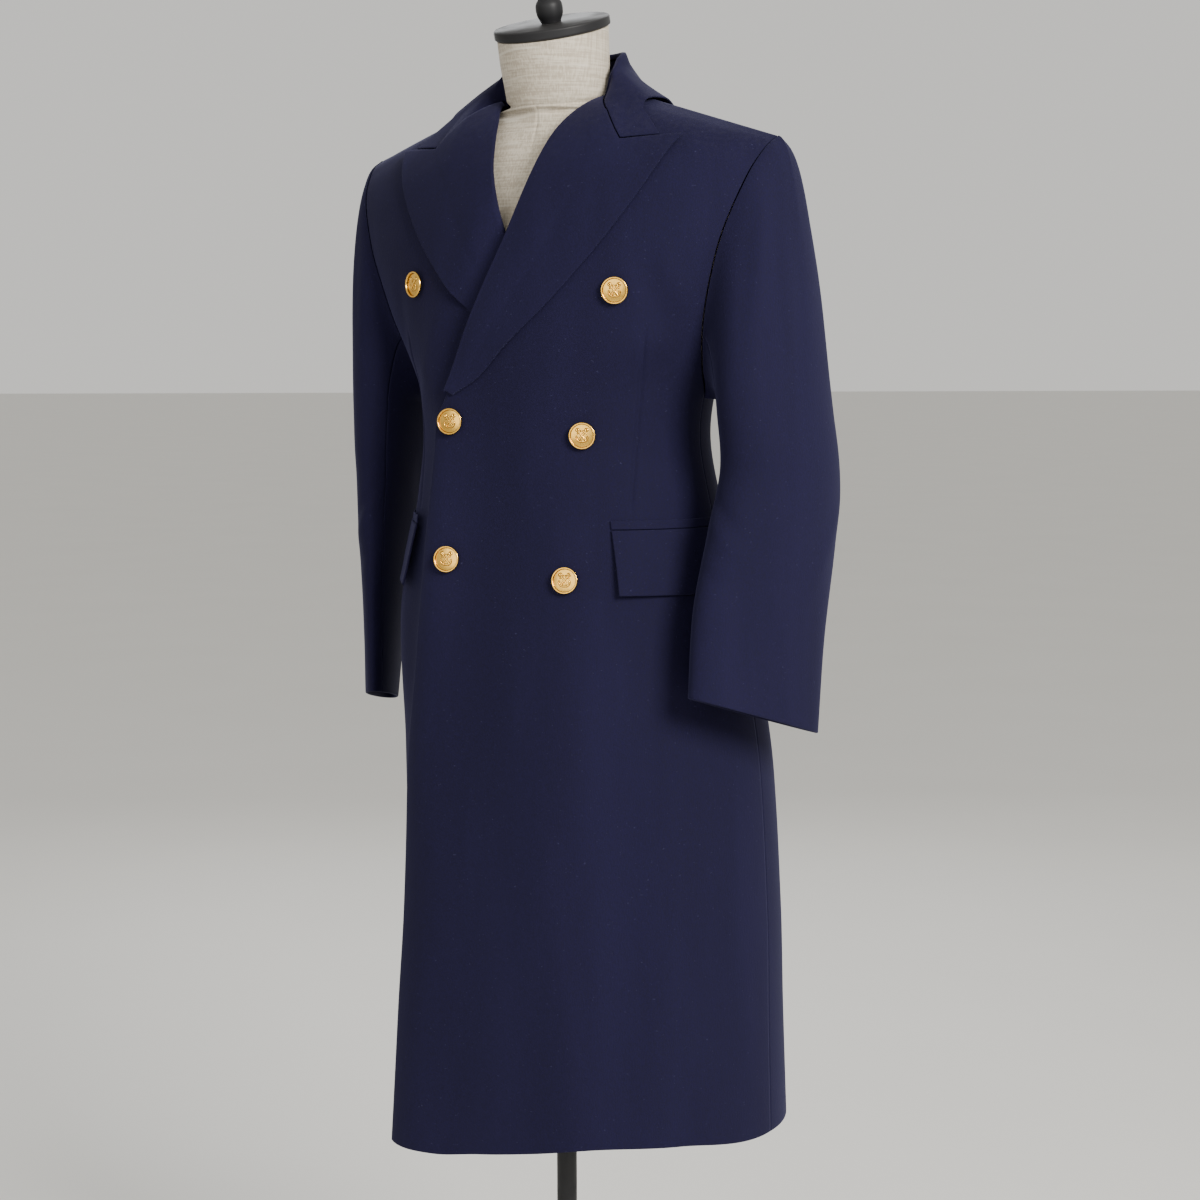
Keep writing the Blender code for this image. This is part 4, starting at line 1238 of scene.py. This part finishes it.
    def leaf(self) -> bpy.types.Object:
        """The leaf: over its roll and down onto the shoulders and back."""
        faces = []
        for inner in (0, 1):
            cuts = [self.section(s, -1.0, inner) for s in self.stations[:0:-1]]
            cuts += [self.section(s, 1.0, inner) for s in self.stations]
            turn, fall = (np.stack(part) for part in zip(*cuts))
            coarse = led_in(turn, fall, self.turn_steps)
            last = len(coarse) - 1
            faces.append(through(coarse, self.fine * last + 1)[:, ::-1])
        return cloth_shell("coat_collar", faces[0], faces[1], self.rims)

    def stand(self) -> bpy.types.Object:
        """The band inside the collar, from the neckline up to the roll."""
        half = np.linspace(0.0, self.stand_end, self.stand_columns)
        shares = np.concatenate((-half[:0:-1], half))
        foot = self.along(shares, "stand") + np.array((0.0, 0.0, self.foot_rise))
        top = self.along(shares, "roll") - np.array((0.0, 0.0, self.roll_drop))
        t = np.linspace(0.0, 1.0, self.stand_rows)[None, :, None]
        grid = foot[:, None] * (1 - t) + top[:, None] * t
        under = grid - normals(grid) * self.cloth
        return cloth_shell("coat_collar_stand", grid, under, self.rims)

    def build(self, wool: bpy.types.Material) -> None:
        """Builds and dresses the leaf and the stand."""
        for piece, node, cut in (
            (self.leaf(), "collar", self.leaf_cut),
            (self.stand(), "collar_stand", self.stand_cut),
        ):
            dress_cloth(piece, node, wool)


@dataclass
class Sleeves:
    """The two-piece sleeves, set into the armholes."""

    body: CoatBody
    cloth: float = 2.4
    seam: float = 0.25
    rims: Rims = Rims(0.3, 1.1, 0.3, 0.3)
    head_centre: tuple[float, float, float] = (0.0, 10.0, 1330.0)
    head_out: float = 1.1
    leave: tuple[float, float] = (0.97, -0.10)
    reach_low: float = 14.0
    reach_high: tuple[float, float] = (54.0, 38.0)
    arrive_high: float = 250.0
    below_key: float = 0.15
    head_rows: int = 64
    head_power: float = 1.25
    arm_rows: int = 84
    seam_calm: float = 12.0
    cuff_calm: tuple[float, float] = (870.0, 915.0)
    head_calm: tuple[float, float] = (6.0, 26.0)
    upper_arc: tuple[float, float, int] = (-96.0, 124.0, 96)
    under_arc: tuple[float, float, int] = (124.0, 264.0, 62)
    columns: tuple[str, ...] = ("row", "x", "y", "z", "long", "short", "turn", "dip")
    left: tuple = (
        (0, 219, 16, 1188, 75, 41, 8, 0.00),
        (1, 224, 18, 1130, 74, 42, 11, 0.08),
        (2, 222.5, 4, 1065, 77, 39, 16, 0.16),
        (3, 221, -18, 990, 76, 33, 22, 0.24),
        (4, 224, -36, 905, 72, 27, 27, 0.31),
    )
    right: tuple = (
        (0, 206, 18, 1188, 76, 34, 8, 0.00),
        (1, 213, 20, 1125, 76, 29, 12, 0.06),
        (2, 214, 10, 1055, 76, 23, 18, 0.12),
        (3, 214, 0, 975, 75, 17, 24, 0.16),
        (4, 213, -9, 889, 72, 14, 28, 0.20),
    )
    creases: tuple[Crease, ...] = (
        Crease(34, 1420, 44, 1262, 9, 1.7),
        Crease(58, 1400, 66, 1250, 9, -1.4),
        Crease(8, 1330, 16, 1160, 12, -1.2),
        Crease(-48, 1380, -40, 1210, 12, 1.3),
        Crease(112, 1112, 62, 1072, 8, -1.8),
        Crease(108, 1084, 40, 1052, 9, 1.5),
        Crease(100, 1042, 52, 1024, 7, -1.3),
        Crease(20, 1010, 26, 930, 12, -1.3),
        Crease(-60, 1120, -20, 1010, 13, 1.4),
        Crease(176, 1130, 196, 1080, 11, -1.4),
        Crease(206, 1100, 214, 960, 12, 1.3),
    )
    upper_cut: Cut = Cut((0.25, 0.60), 0.105, ("coat_front_{hand}", "coat_back_{hand}"))
    under_cut: Cut = Cut((0.16, 0.44), 0.056, ("coat_front_{hand}", "coat_back_{hand}"))

    def armhole(self, turn: np.ndarray, sign: int) -> np.ndarray:
        """Points round the armhole: 0 is the shoulder tip, 90 the front, 180 below."""
        body = self.body
        t = np.cos(np.radians(turn) / 2) ** 2
        level = body.underarm + t * (body.neck_height - body.underarm)
        angle = np.radians(sign * body.sizes.at("angle", level))
        x = body.reach(level, angle) * np.sin(angle)
        fore, aft = body.at_x(level, x, Face.FRONT), body.at_x(level, x, Face.BACK)
        return np.where((turn % 360 <= 180)[..., None], fore, aft)

    def ring(self, table: Table, key: float, turn: np.ndarray, sign: int,
             inset: float) -> np.ndarray:
        """Points round a section of the sleeve; turn as for the armhole."""
        row = {name: float(table.at(name, np.array(key))) for name in self.columns[1:]}
        swing, a = math.radians(row["turn"]), np.radians(turn)
        across = np.cos(a) * (row["short"] - inset)
        along = -np.sin(a) * (row["long"] - inset)
        x = row["x"] + across * math.cos(swing) + along * math.sin(swing)
        y = row["y"] - across * math.sin(swing) + along * math.cos(swing)
        return np.stack((sign * x, y, row["z"] - row["dip"] * along), -1)

    def grid(self, side: Side, turn: np.ndarray, inset: float) -> np.ndarray:
        """Rows from the armhole to the cuff, at each angle round the sleeve."""
        sign = side.value
        table = Table(self.columns, self.left if side is Side.LEFT else self.right)
        hole = self.armhole(turn, sign)
        inward = unit((np.array(self.head_centre) - hole) * np.array((0.0, 1.0, 1.0)))
        top = hole + np.array((sign * self.head_out, 0.0, 0.0)) + inward * inset
        bicep, below = (self.ring(table, key, turn, sign, inset) for key in (0.0, self.below_key))
        high = (0.5 + 0.5 * np.cos(np.radians(turn)))[:, None]
        outward, downward = self.leave
        reach_high = self.reach_high[0 if side is Side.LEFT else 1]
        leave = np.array((sign * outward, 0.0, downward)) * (self.reach_low + reach_high * high)
        arrive = unit(below - bicep) * (self.reach_low + self.arrive_high * high)
        rows = []
        for t in np.linspace(0.0, 1.0, self.head_rows) ** self.head_power:
            start, end = (1 + 2 * t) * (1 - t) ** 2, t * t * (3 - 2 * t)
            bend = leave * t * (1 - t) ** 2 - arrive * t * t * (1 - t)
            rows.append(top * start + bicep * end + bend)
        keys = np.linspace(0.0, table.rows[-1][0], self.arm_rows)[1:]
        rows += [self.ring(table, key, turn, sign, inset) for key in keys]
        return np.stack(rows)

    def creased(self, turn: np.ndarray, height: np.ndarray, first: float,
                last: float) -> np.ndarray:
        """How far the creases move the cloth out, still along the seams."""
        laps = (-360.0, 0.0, 360.0)
        total = sum(c.offset(turn + lap, height) for c in self.creases for lap in laps)
        calm = step_between(turn, first, first + self.seam_calm)
        calm = calm * (1.0 - step_between(turn, last - self.seam_calm, last))
        return total * calm * step_between(height, *self.cuff_calm)

    def half_sleeve(self, side: Side, part: str, first: float, last: float,
                    count: int) -> bpy.types.Object:
        """The upper or the under sleeve of one arm.

        Args:
            side: the wearer's side.
            part: its word in names.
            first: the angle where it starts.
            last: the angle where it ends.
            count: columns round it.

        Returns:
            The piece.
        """
        turn = np.linspace(first + self.seam, last - self.seam, count)
        outer, inner = (self.grid(side, turn % 360.0, inset) for inset in (0.0, self.cloth))
        rise = self.creased(turn[None, :] + 0 * outer[..., 2], outer[..., 2], first, last)
        rise = rise * step_between(np.arange(len(outer))[:, None], *self.head_calm)
        shift = unit(outer - inner) * rise[..., None]
        outer, inner = outer + shift, inner + shift
        if side is Side.RIGHT:
            outer, inner = outer[:, ::-1], inner[:, ::-1]
        return cloth_shell(f"coat_{part}_sleeve_{side.hand}", outer, inner, self.rims)

    def build(self, wool: bpy.types.Material) -> None:
        """Builds and dresses the four halves."""
        for side in Side:
            for part, arc, cut in (
                ("upper", self.upper_arc, self.upper_cut),
                ("under", self.under_arc, self.under_cut),
            ):
                piece = self.half_sleeve(side, part, *arc)
                dress_cloth(piece, f"{part}_sleeve_{side.hand}", wool)


@dataclass
class Pockets:
    """The pocket flaps and the welts above them."""

    body: CoatBody
    flap_cloth: float = 2.0
    welt_cloth: float = 1.4
    gap: float = 0.35
    front_top: tuple[float, float] = (101.0, 1075.0)
    front_low: tuple[float, float] = (112.0, 1015.0)
    back_turn: float = 86.0
    welt_height: float = 8.0
    clear: float = 0.25
    spring: tuple[float, float] = (1.2, 5.0)
    flap_grid: tuple[int, int] = (30, 64)
    welt_rows: int = 9
    rims: Rims = Rims(0.7, 0.7, 0.7, 0.7)
    flap_cut: Cut = Cut((0.14, 0.064), 0.0078, ("coat_front_{hand}",))
    welt_cut: Cut = Cut((0.14, 0.012), 0.0012, ("coat_front_{hand}",))

    def start_turn(self, side: Side, x: float, level: float) -> float:
        """The angle round the body at which a place on a front lies, in degrees."""
        reach = self.body.reach(np.array(level), np.array(float(side.value)))
        return float(np.degrees(np.arcsin(x / reach)))

    def lying(self, side: Side, name: str, turn: np.ndarray, level: np.ndarray, lift: np.ndarray,
              cloth: float) -> bpy.types.Object:
        """A flat piece lying on a front, from its places round the body."""
        x = side.value * self.body.reach(level, side.value * turn) * np.sin(np.radians(turn))
        grid = self.body.lifted(x, level, Face.FRONT, lift)
        grid = grid if side is Side.LEFT else grid[:, ::-1]
        return cloth_shell(name, grid, grid - normals(grid) * cloth, self.rims)

    def build(self, wool: bpy.types.Material) -> None:
        """Builds and dresses both pockets."""
        for side in Side:
            rows, columns = self.flap_grid
            share = np.linspace(0, 1, columns)[None, :]
            down = np.linspace(1, 0, rows)[:, None]
            top = self.front_top[1]
            high, low = (self.start_turn(side, *at) for at in (self.front_top, self.front_low))
            level = top + (self.front_low[1] - top) * down + 0 * share
            start = high + (low - high) * down
            turn = start + (self.back_turn - start) * share
            spring = down * (self.spring[0] + self.spring[1] * (1 - share) ** 3)
            lift = self.flap_cloth + self.gap + self.clear + spring
            flap = self.lying(side, f"coat_flap_{side.hand}", turn, level, lift, self.flap_cloth)
            up = np.linspace(0, 1, self.welt_rows)[:, None]
            level = top + 2 * self.gap + self.welt_height * up + 0 * share
            turn = high + (self.back_turn - high) * share + 0 * level
            lift = np.array(self.welt_cloth + self.gap + self.clear)
            welt = self.lying(side, f"coat_welt_{side.hand}", turn, level, lift, self.welt_cloth)
            dress_cloth(flap, f"pocket_flap_{side.hand}", wool)
            dress_cloth(welt, f"pocket_welt_{side.hand}", wool)


@dataclass
class Buttons:
    """Six gilt shank buttons with a rim and a plain crossed relief."""

    body: CoatBody
    radius: float = 12.5
    rise: float = 0.6
    around: int = 112
    rings: int = 64
    rim_start: float = 0.86
    field_height: float = 3.0
    rim_height: float = 4.9
    dome: float = 0.9
    relief: float = 0.95
    lean: float = 38.0
    back_rings: int = 22
    middle_share: float = 0.02
    relief_fade: tuple[float, float] = (0.76, 0.84)
    relief_edge: tuple[float, float] = (-0.15, 0.30)
    rim_in: tuple[float, float] = (0.84, 0.89)
    rim_out: tuple[float, float] = (0.95, 1.0)
    rim_fall: float = 0.35
    shank_half: float = 5.6
    shank_thick: float = 0.55
    bar_half: float = 1.9
    bar_place: float = 4.2
    bar_thick: float = 0.35
    ring_place: float = 6.9
    ring_radius: float = 1.05
    ring_thick: float = 0.32
    foot_top: float = -3.0
    foot_place: float = 2.2
    foot_radius: float = 3.6
    foot_thick: float = 0.5
    back: tuple = ((0.30, 0.0), (0.30, 1.6), (0.62, 1.8), (0.94, 2.3), (0.985, 2.8), (1.0, 3.4))
    places: tuple = (
        ("top_left", 108.4, 1298.0), ("top_right", -107.8, 1307.0),
        ("middle_left", 73.1, 1162.0), ("middle_right", -55.9, 1174.0),
        ("low_left", 65.5, 1029.0), ("low_right", -54.0, 1045.0),
    )

    def relief_at(self, x: np.ndarray, y: np.ndarray) -> np.ndarray:
        """Height share of two plain crossed staves, each with a ring, a bar and a curved foot."""
        far = 9.0
        near = np.full(x.shape, far)
        for sign in (-1.0, 1.0):
            a = math.radians(sign * self.lean)
            u, v = x * math.cos(a) - y * math.sin(a), x * math.sin(a) + y * math.cos(a)
            shank = np.hypot(u, np.maximum(np.abs(v) - self.shank_half, 0.0)) - self.shank_thick
            bar = np.maximum(np.abs(u) - self.bar_half, 0.0)
            bar = np.hypot(bar, v - self.bar_place) - self.bar_thick
            ring = np.abs(np.hypot(u, v - self.ring_place) - self.ring_radius) - self.ring_thick
            foot = np.abs(np.hypot(u, v + self.foot_place) - self.foot_radius) - self.foot_thick
            foot = np.where(v < self.foot_top, foot, far)
            for part in (shank, bar, ring, foot):
                near = np.minimum(near, part)
        return 1.0 - step_between(near, *self.relief_edge)

    def profile(self, share: np.ndarray) -> np.ndarray:
        """Height of the face over the radius: domed field, then the raised rim."""
        field = self.field_height + self.dome * (1.0 - (share / self.rim_start) ** 2)
        field = np.where(share < self.rim_start, field, self.field_height)
        fall = 1.0 - self.rim_fall * step_between(share, *self.rim_out)
        rim = step_between(share, *self.rim_in) * fall
        return field + (self.rim_height - self.field_height) * rim

    def button(self, name: str, x: float, level: float) -> bpy.types.Object:
        """A button on its short shank, square to the cloth."""
        at_x, at_level = np.array(x), np.array(level)
        base = self.body.lifted(at_x, at_level, Face.FRONT, self.rise)
        axis, first, second = circle_axes(self.body.normal(at_level, at_x, Face.FRONT))
        a = turns(self.around)
        loop = circle(a, first, second)
        back = through(np.array(self.back), self.back_rings)
        rings = [base + r * self.radius * loop + z * axis for r, z in back]
        for share in np.linspace(self.back[-2][0], self.middle_share, self.rings):
            px, py = share * self.radius * np.cos(a), share * self.radius * np.sin(a)
            fade = 1.0 - step_between(np.full(a.shape, share), *self.relief_fade)
            z = self.profile(np.array(share)) + self.relief * self.relief_at(px, py) * fade
            rings.append(base + share * self.radius * loop + z[:, None] * axis)
        return ring_solid(f"coat_button_{name}", np.stack(rings))

    def build(self, gilt: bpy.types.Material) -> None:
        """Builds and dresses the six buttons."""
        for name, x, level in self.places:
            dress(self.button(name, x, level), f"button_{name}", gilt)


# ---- the dress form and its stand ----------------------------------------------------
@dataclass
class DressForm:
    """The padded linen form with its neck cap and finial."""

    sway: float = 0.0143
    around: int = 150
    rows: int = 150
    tuck: float = 0.6
    seam_depth: float = 0.7
    neck_top: tuple[float, float, float] = (0.0, -17.0, 1538.0)
    cap_tilt: float = 16.5
    neck_seam: float = 1471.0
    body_rows: tuple[int, int] = (12, 84)
    cluster: tuple[float, float, float] = (0.5, 0.03, 5.0)
    tuck_fade: tuple[float, float] = (1462.5, 1470.0)
    centre_seam: float = 1.5
    centre_fade: tuple[float, float] = (1469.0, 1473.0)
    neck_groove: tuple[float, float] = (0.9, 1.4)
    cap_mesh: tuple[int, int] = (96, 6)
    finial_mesh: tuple[int, int] = (72, 5)
    sizes: Table = Table(
        ("row", "height", "half", "front", "back", "lean", "power"),
        (
            (0, 745, 150, -98, 118, 0, 2), (1, 750, 158, -104, 124, 0, 2),
            (2, 860, 166, -110, 132, 0, 2), (3, 960, 158, -106, 130, 0, 2),
            (4, 1060, 144, -96, 116, 0, 2), (5, 1150, 130, -86, 106, 0, 2),
            (6, 1230, 142, -90, 108, 0, 2), (7, 1310, 160, -90, 110, 0, 2),
            (8, 1370, 172, -81, 102, 0, 2), (9, 1408, 177, -66, 82, 0, 2),
            (10, 1428, 170, -57, 66, 0, 1.9), (11, 1440, 156, -52, 60, 0, 1.7),
            (12, 1455.6, 136, -47, 56, 0, 1.35),
            (13, 1462.5, 112, -47, 54, 0, 1.15),
            (14, 1470, 53, -49, 42, 0.05, 1.9), (15, 1478, 51.5, -51, 38, 0.09, 2),
            (16, 1494, 52, -56, 36, 0.14, 2), (17, 1516, 53, -63, 35, 0.22, 2),
            (18, 1538, 53, -69, 35, 0.296, 2),
        ),
    )
    cap: tuple = ((52.0, 0.35), (54.5, 1.2), (55.5, 3.0), (55.5, 8.5), (54.0, 10.0))
    finial: tuple = (
        (9.5, 10.35), (10, 12), (12.2, 17), (12.9, 22.5), (12.2, 28), (9.3, 32.5),
        (8.4, 35), (10.5, 38), (14, 44), (14.6, 50), (12.5, 57), (7.5, 62.5),
        (2, 65),
    )

    def form(self) -> bpy.types.Object:
        """The padded form, with its centre and neck seams drawn in."""
        shoulder, count = self.body_rows
        lower, last = np.linspace(0, shoulder, count)[:-1], len(self.sizes.rows) - 1
        upper = np.linspace(shoulder, last, self.rows - len(lower))
        rows = np.concatenate((lower, upper))
        size = {name: self.sizes.at(name, rows)[:, None] for name in self.sizes.names[1:]}
        share = clustered(self.around, *self.cluster)[:-1]
        a = 2 * math.pi * (share - 0.5)[None, :]
        sine, cosine = np.sin(a), np.cos(a)
        middle, half_deep = (size["front"] + size["back"]) / 2, (size["back"] - size["front"]) / 2
        x = size["half"] * np.sign(sine) * np.abs(sine) ** (2 / size["power"])
        y = middle - half_deep * np.sign(cosine) * np.abs(cosine) ** (2 / size["power"])
        z = size["height"] + size["lean"] * (y - middle) + self.sway * (2.0 - size["power"]) * x
        rings = np.stack((x, y, z), -1)
        tuck = self.tuck * (1.0 - step_between(size["height"], *self.tuck_fade))
        centre = 1.0 - step_between(size["height"], *self.centre_fade)
        centre = np.exp(-((x / self.centre_seam) ** 2)) * centre
        share, width = self.neck_groove
        groove = centre + share * np.exp(-(((size["height"] - self.neck_seam) / width) ** 2))
        depth = tuck + self.seam_depth * np.minimum(groove, 1.0)
        heart = np.stack((0 * x, middle + 0 * x, z), -1)
        rings = rings - unit((rings - heart) + TINY) * depth[..., None]
        return ring_solid("form_body", rings)

    def build(self, linen: bpy.types.Material, wood: bpy.types.Material) -> None:
        """Builds and dresses the form, cap and finial."""
        tilt = math.radians(self.cap_tilt)
        lean = (0.0, -math.sin(tilt), math.cos(tilt))
        dress(self.form(), "dress_form", linen)
        cap = lathe("form_neck_cap", self.cap, self.neck_top, lean, *self.cap_mesh)
        dress(cap, "neck_cap", wood)
        finial = lathe("form_finial", self.finial, self.neck_top, lean, *self.finial_mesh)
        dress(finial, "finial", wood)


@dataclass
class Stand:
    """The pole and its round base."""

    pole_mesh: tuple[int, int] = (64, 40)
    base_mesh: tuple[int, int] = (144, 1)
    pole: tuple = ((10.0, 30.35), (10.0, 744.6))
    base: tuple = (
        (168, 0), (169.4, 0.6), (170, 2), (170, 10), (169.4, 12),
        (168.2, 13.3), (166, 14), (103, 16), (40, 18), (31, 19.6),
        (25, 21), (22, 22.6), (20.6, 25.4), (20, 30),
    )

    def build(self, metal: bpy.types.Material) -> None:
        """Builds and dresses the pole and the base."""
        centre, up = (0.0, 0.0, 0.0), (0.0, 0.0, 1.0)
        pole = lathe("stand_pole", self.pole, centre, up, *self.pole_mesh)
        dress(pole, "pole", metal)
        plate = lathe("stand_foot_plate", self.base, centre, up, *self.base_mesh)
        dress(plate, "stand_base", metal)


# ---- the studio ----------------------------------------------------------------------
@dataclass(frozen=True)
class SoftBox:
    """A soft square lamp that faces the coat; places in metres."""

    name: str
    place: tuple[float, float, float]
    size: float
    watts: float
    colour: tuple[float, float, float] = (1.0, 1.0, 1.0)

    def hang(self, target: Vector) -> None:
        """Hangs the lamp, facing the target."""
        lamp = bpy.data.lights.new(self.name, "AREA")
        lamp.shape, lamp.size = "SQUARE", self.size
        lamp.energy, lamp.color = self.watts, self.colour
        made = in_scene(self.name, lamp)
        made.location = self.place
        made.rotation_euler = (target - Vector(self.place)).to_track_quat("-Z", "Y").to_euler()


@dataclass
class Studio:
    """The floor, the lamps, the sky and the camera; all in metres and degrees."""

    azimuth: float = 30.0
    pitch: float = 6.35
    roll: float = -0.15
    eye: tuple[float, float, float] = (1.1473, -1.9179, 1.2458)
    lens: float = 69.0
    sensor: float = 36.0
    far: float = 60.0
    floor_half: float = 60.0
    sky: Colour = (0.90, 0.885, 0.85, 1.0)
    sky_strength: float = 0.85
    aim: tuple[float, float, float] = (0.0, 0.0, 1.1)
    lamps: tuple[SoftBox, ...] = (
        SoftBox("key_lamp", (2.7, -1.3, 2.4), 1.2, 190.0, (1.0, 0.98, 0.95)),
        SoftBox("front_lamp", (0.6, -3.2, 1.9), 2.4, 36.0),
        SoftBox("back_lamp", (-1.6, 2.6, 2.4), 2.0, 40.0, (0.95, 0.97, 1.0)),
    )

    def camera(self) -> None:
        """The camera at its fixed place and turn."""
        az, p, r = (math.radians(v) for v in (self.azimuth, self.pitch, self.roll))
        ahead = Vector((-math.sin(az) * math.cos(p), math.cos(az) * math.cos(p), -math.sin(p)))
        level = Vector((math.cos(az), math.sin(az), 0.0))
        upright = level.cross(ahead)
        across = level * math.cos(r) + upright * math.sin(r)
        up = upright * math.cos(r) - level * math.sin(r)
        lens = bpy.data.cameras.new("studio_camera")
        lens.lens, lens.sensor_width, lens.clip_end = self.lens, self.sensor, self.far
        made = in_scene("studio_camera", lens)
        turn = Matrix((across, up, -ahead)).transposed().to_4x4()
        made.matrix_world = Matrix.Translation(self.eye) @ turn
        bpy.context.scene.camera = made

    def floor(self, effects: Effects) -> None:
        """The plain pale floor."""
        h = self.floor_half
        mesh = bpy.data.meshes.new("studio_floor")
        corners = [(-h, -h, 0.0), (h, -h, 0.0), (h, h, 0.0), (-h, h, 0.0)]
        mesh.from_pydata(corners, [], [(0, 1, 2, 3)])
        made = in_scene("studio_floor", mesh)
        mesh.materials.append(FloorFinish("floor_paint").make(effects))

    def build(self, effects: Effects) -> None:
        """Sets up the floor, the sky, the lamps and the camera."""
        self.camera()
        self.floor(effects)
        world = bpy.data.worlds.new("studio_sky")
        world.use_nodes = True
        ground = world.node_tree.nodes["Background"]
        ground.inputs["Color"].default_value = self.sky
        ground.inputs["Strength"].default_value = self.sky_strength
        bpy.context.scene.world = world
        for lamp in self.lamps:
            lamp.hang(Vector(self.aim))


def main() -> None:
    """Builds the studio, the coat, the form and the stand in order."""
    logging.basicConfig(level=logging.INFO, format="%(name)s %(message)s")
    effects = Effects()
    Studio().build(effects)
    wool = WoolFinish("coat_wool").make(effects)
    facing = WoolFinish("facing_wool", patch_scale=15.0, nap_depth=0.0004).make(effects)
    linen = LinenFinish("form_linen").make(effects)
    gilt = GiltFinish("button_gilt").make(effects)
    wood = BlackFinish(
        "cap_lacquer",
        base=(0.012, 0.012, 0.013, 1.0),
        worn=(0.03, 0.028, 0.026, 1.0),
        roughness=0.42,
        gloss=0.0,
        mark_scale=24.0,
        dust_amount=0.02,
    ).make(effects)
    metal = BlackFinish(
        "stand_coating",
        base=(0.014, 0.014, 0.015, 1.0),
        worn=(0.05, 0.05, 0.05, 1.0),
        roughness=0.42,
        gloss=0.0,
        mark_scale=90.0,
        dust_amount=0.05,
    ).make(effects)
    body = CoatBody()
    lapels = Lapels(body)
    Panels(body).build(wool)
    lapels.build(facing)
    Collar(body, lapels).build(facing)
    Sleeves(body).build(wool)
    Pockets(body).build(wool)
    Buttons(body).build(gilt)
    DressForm().build(linen, wood)
    Stand().build(metal)


if __name__ == "__main__":
    main()
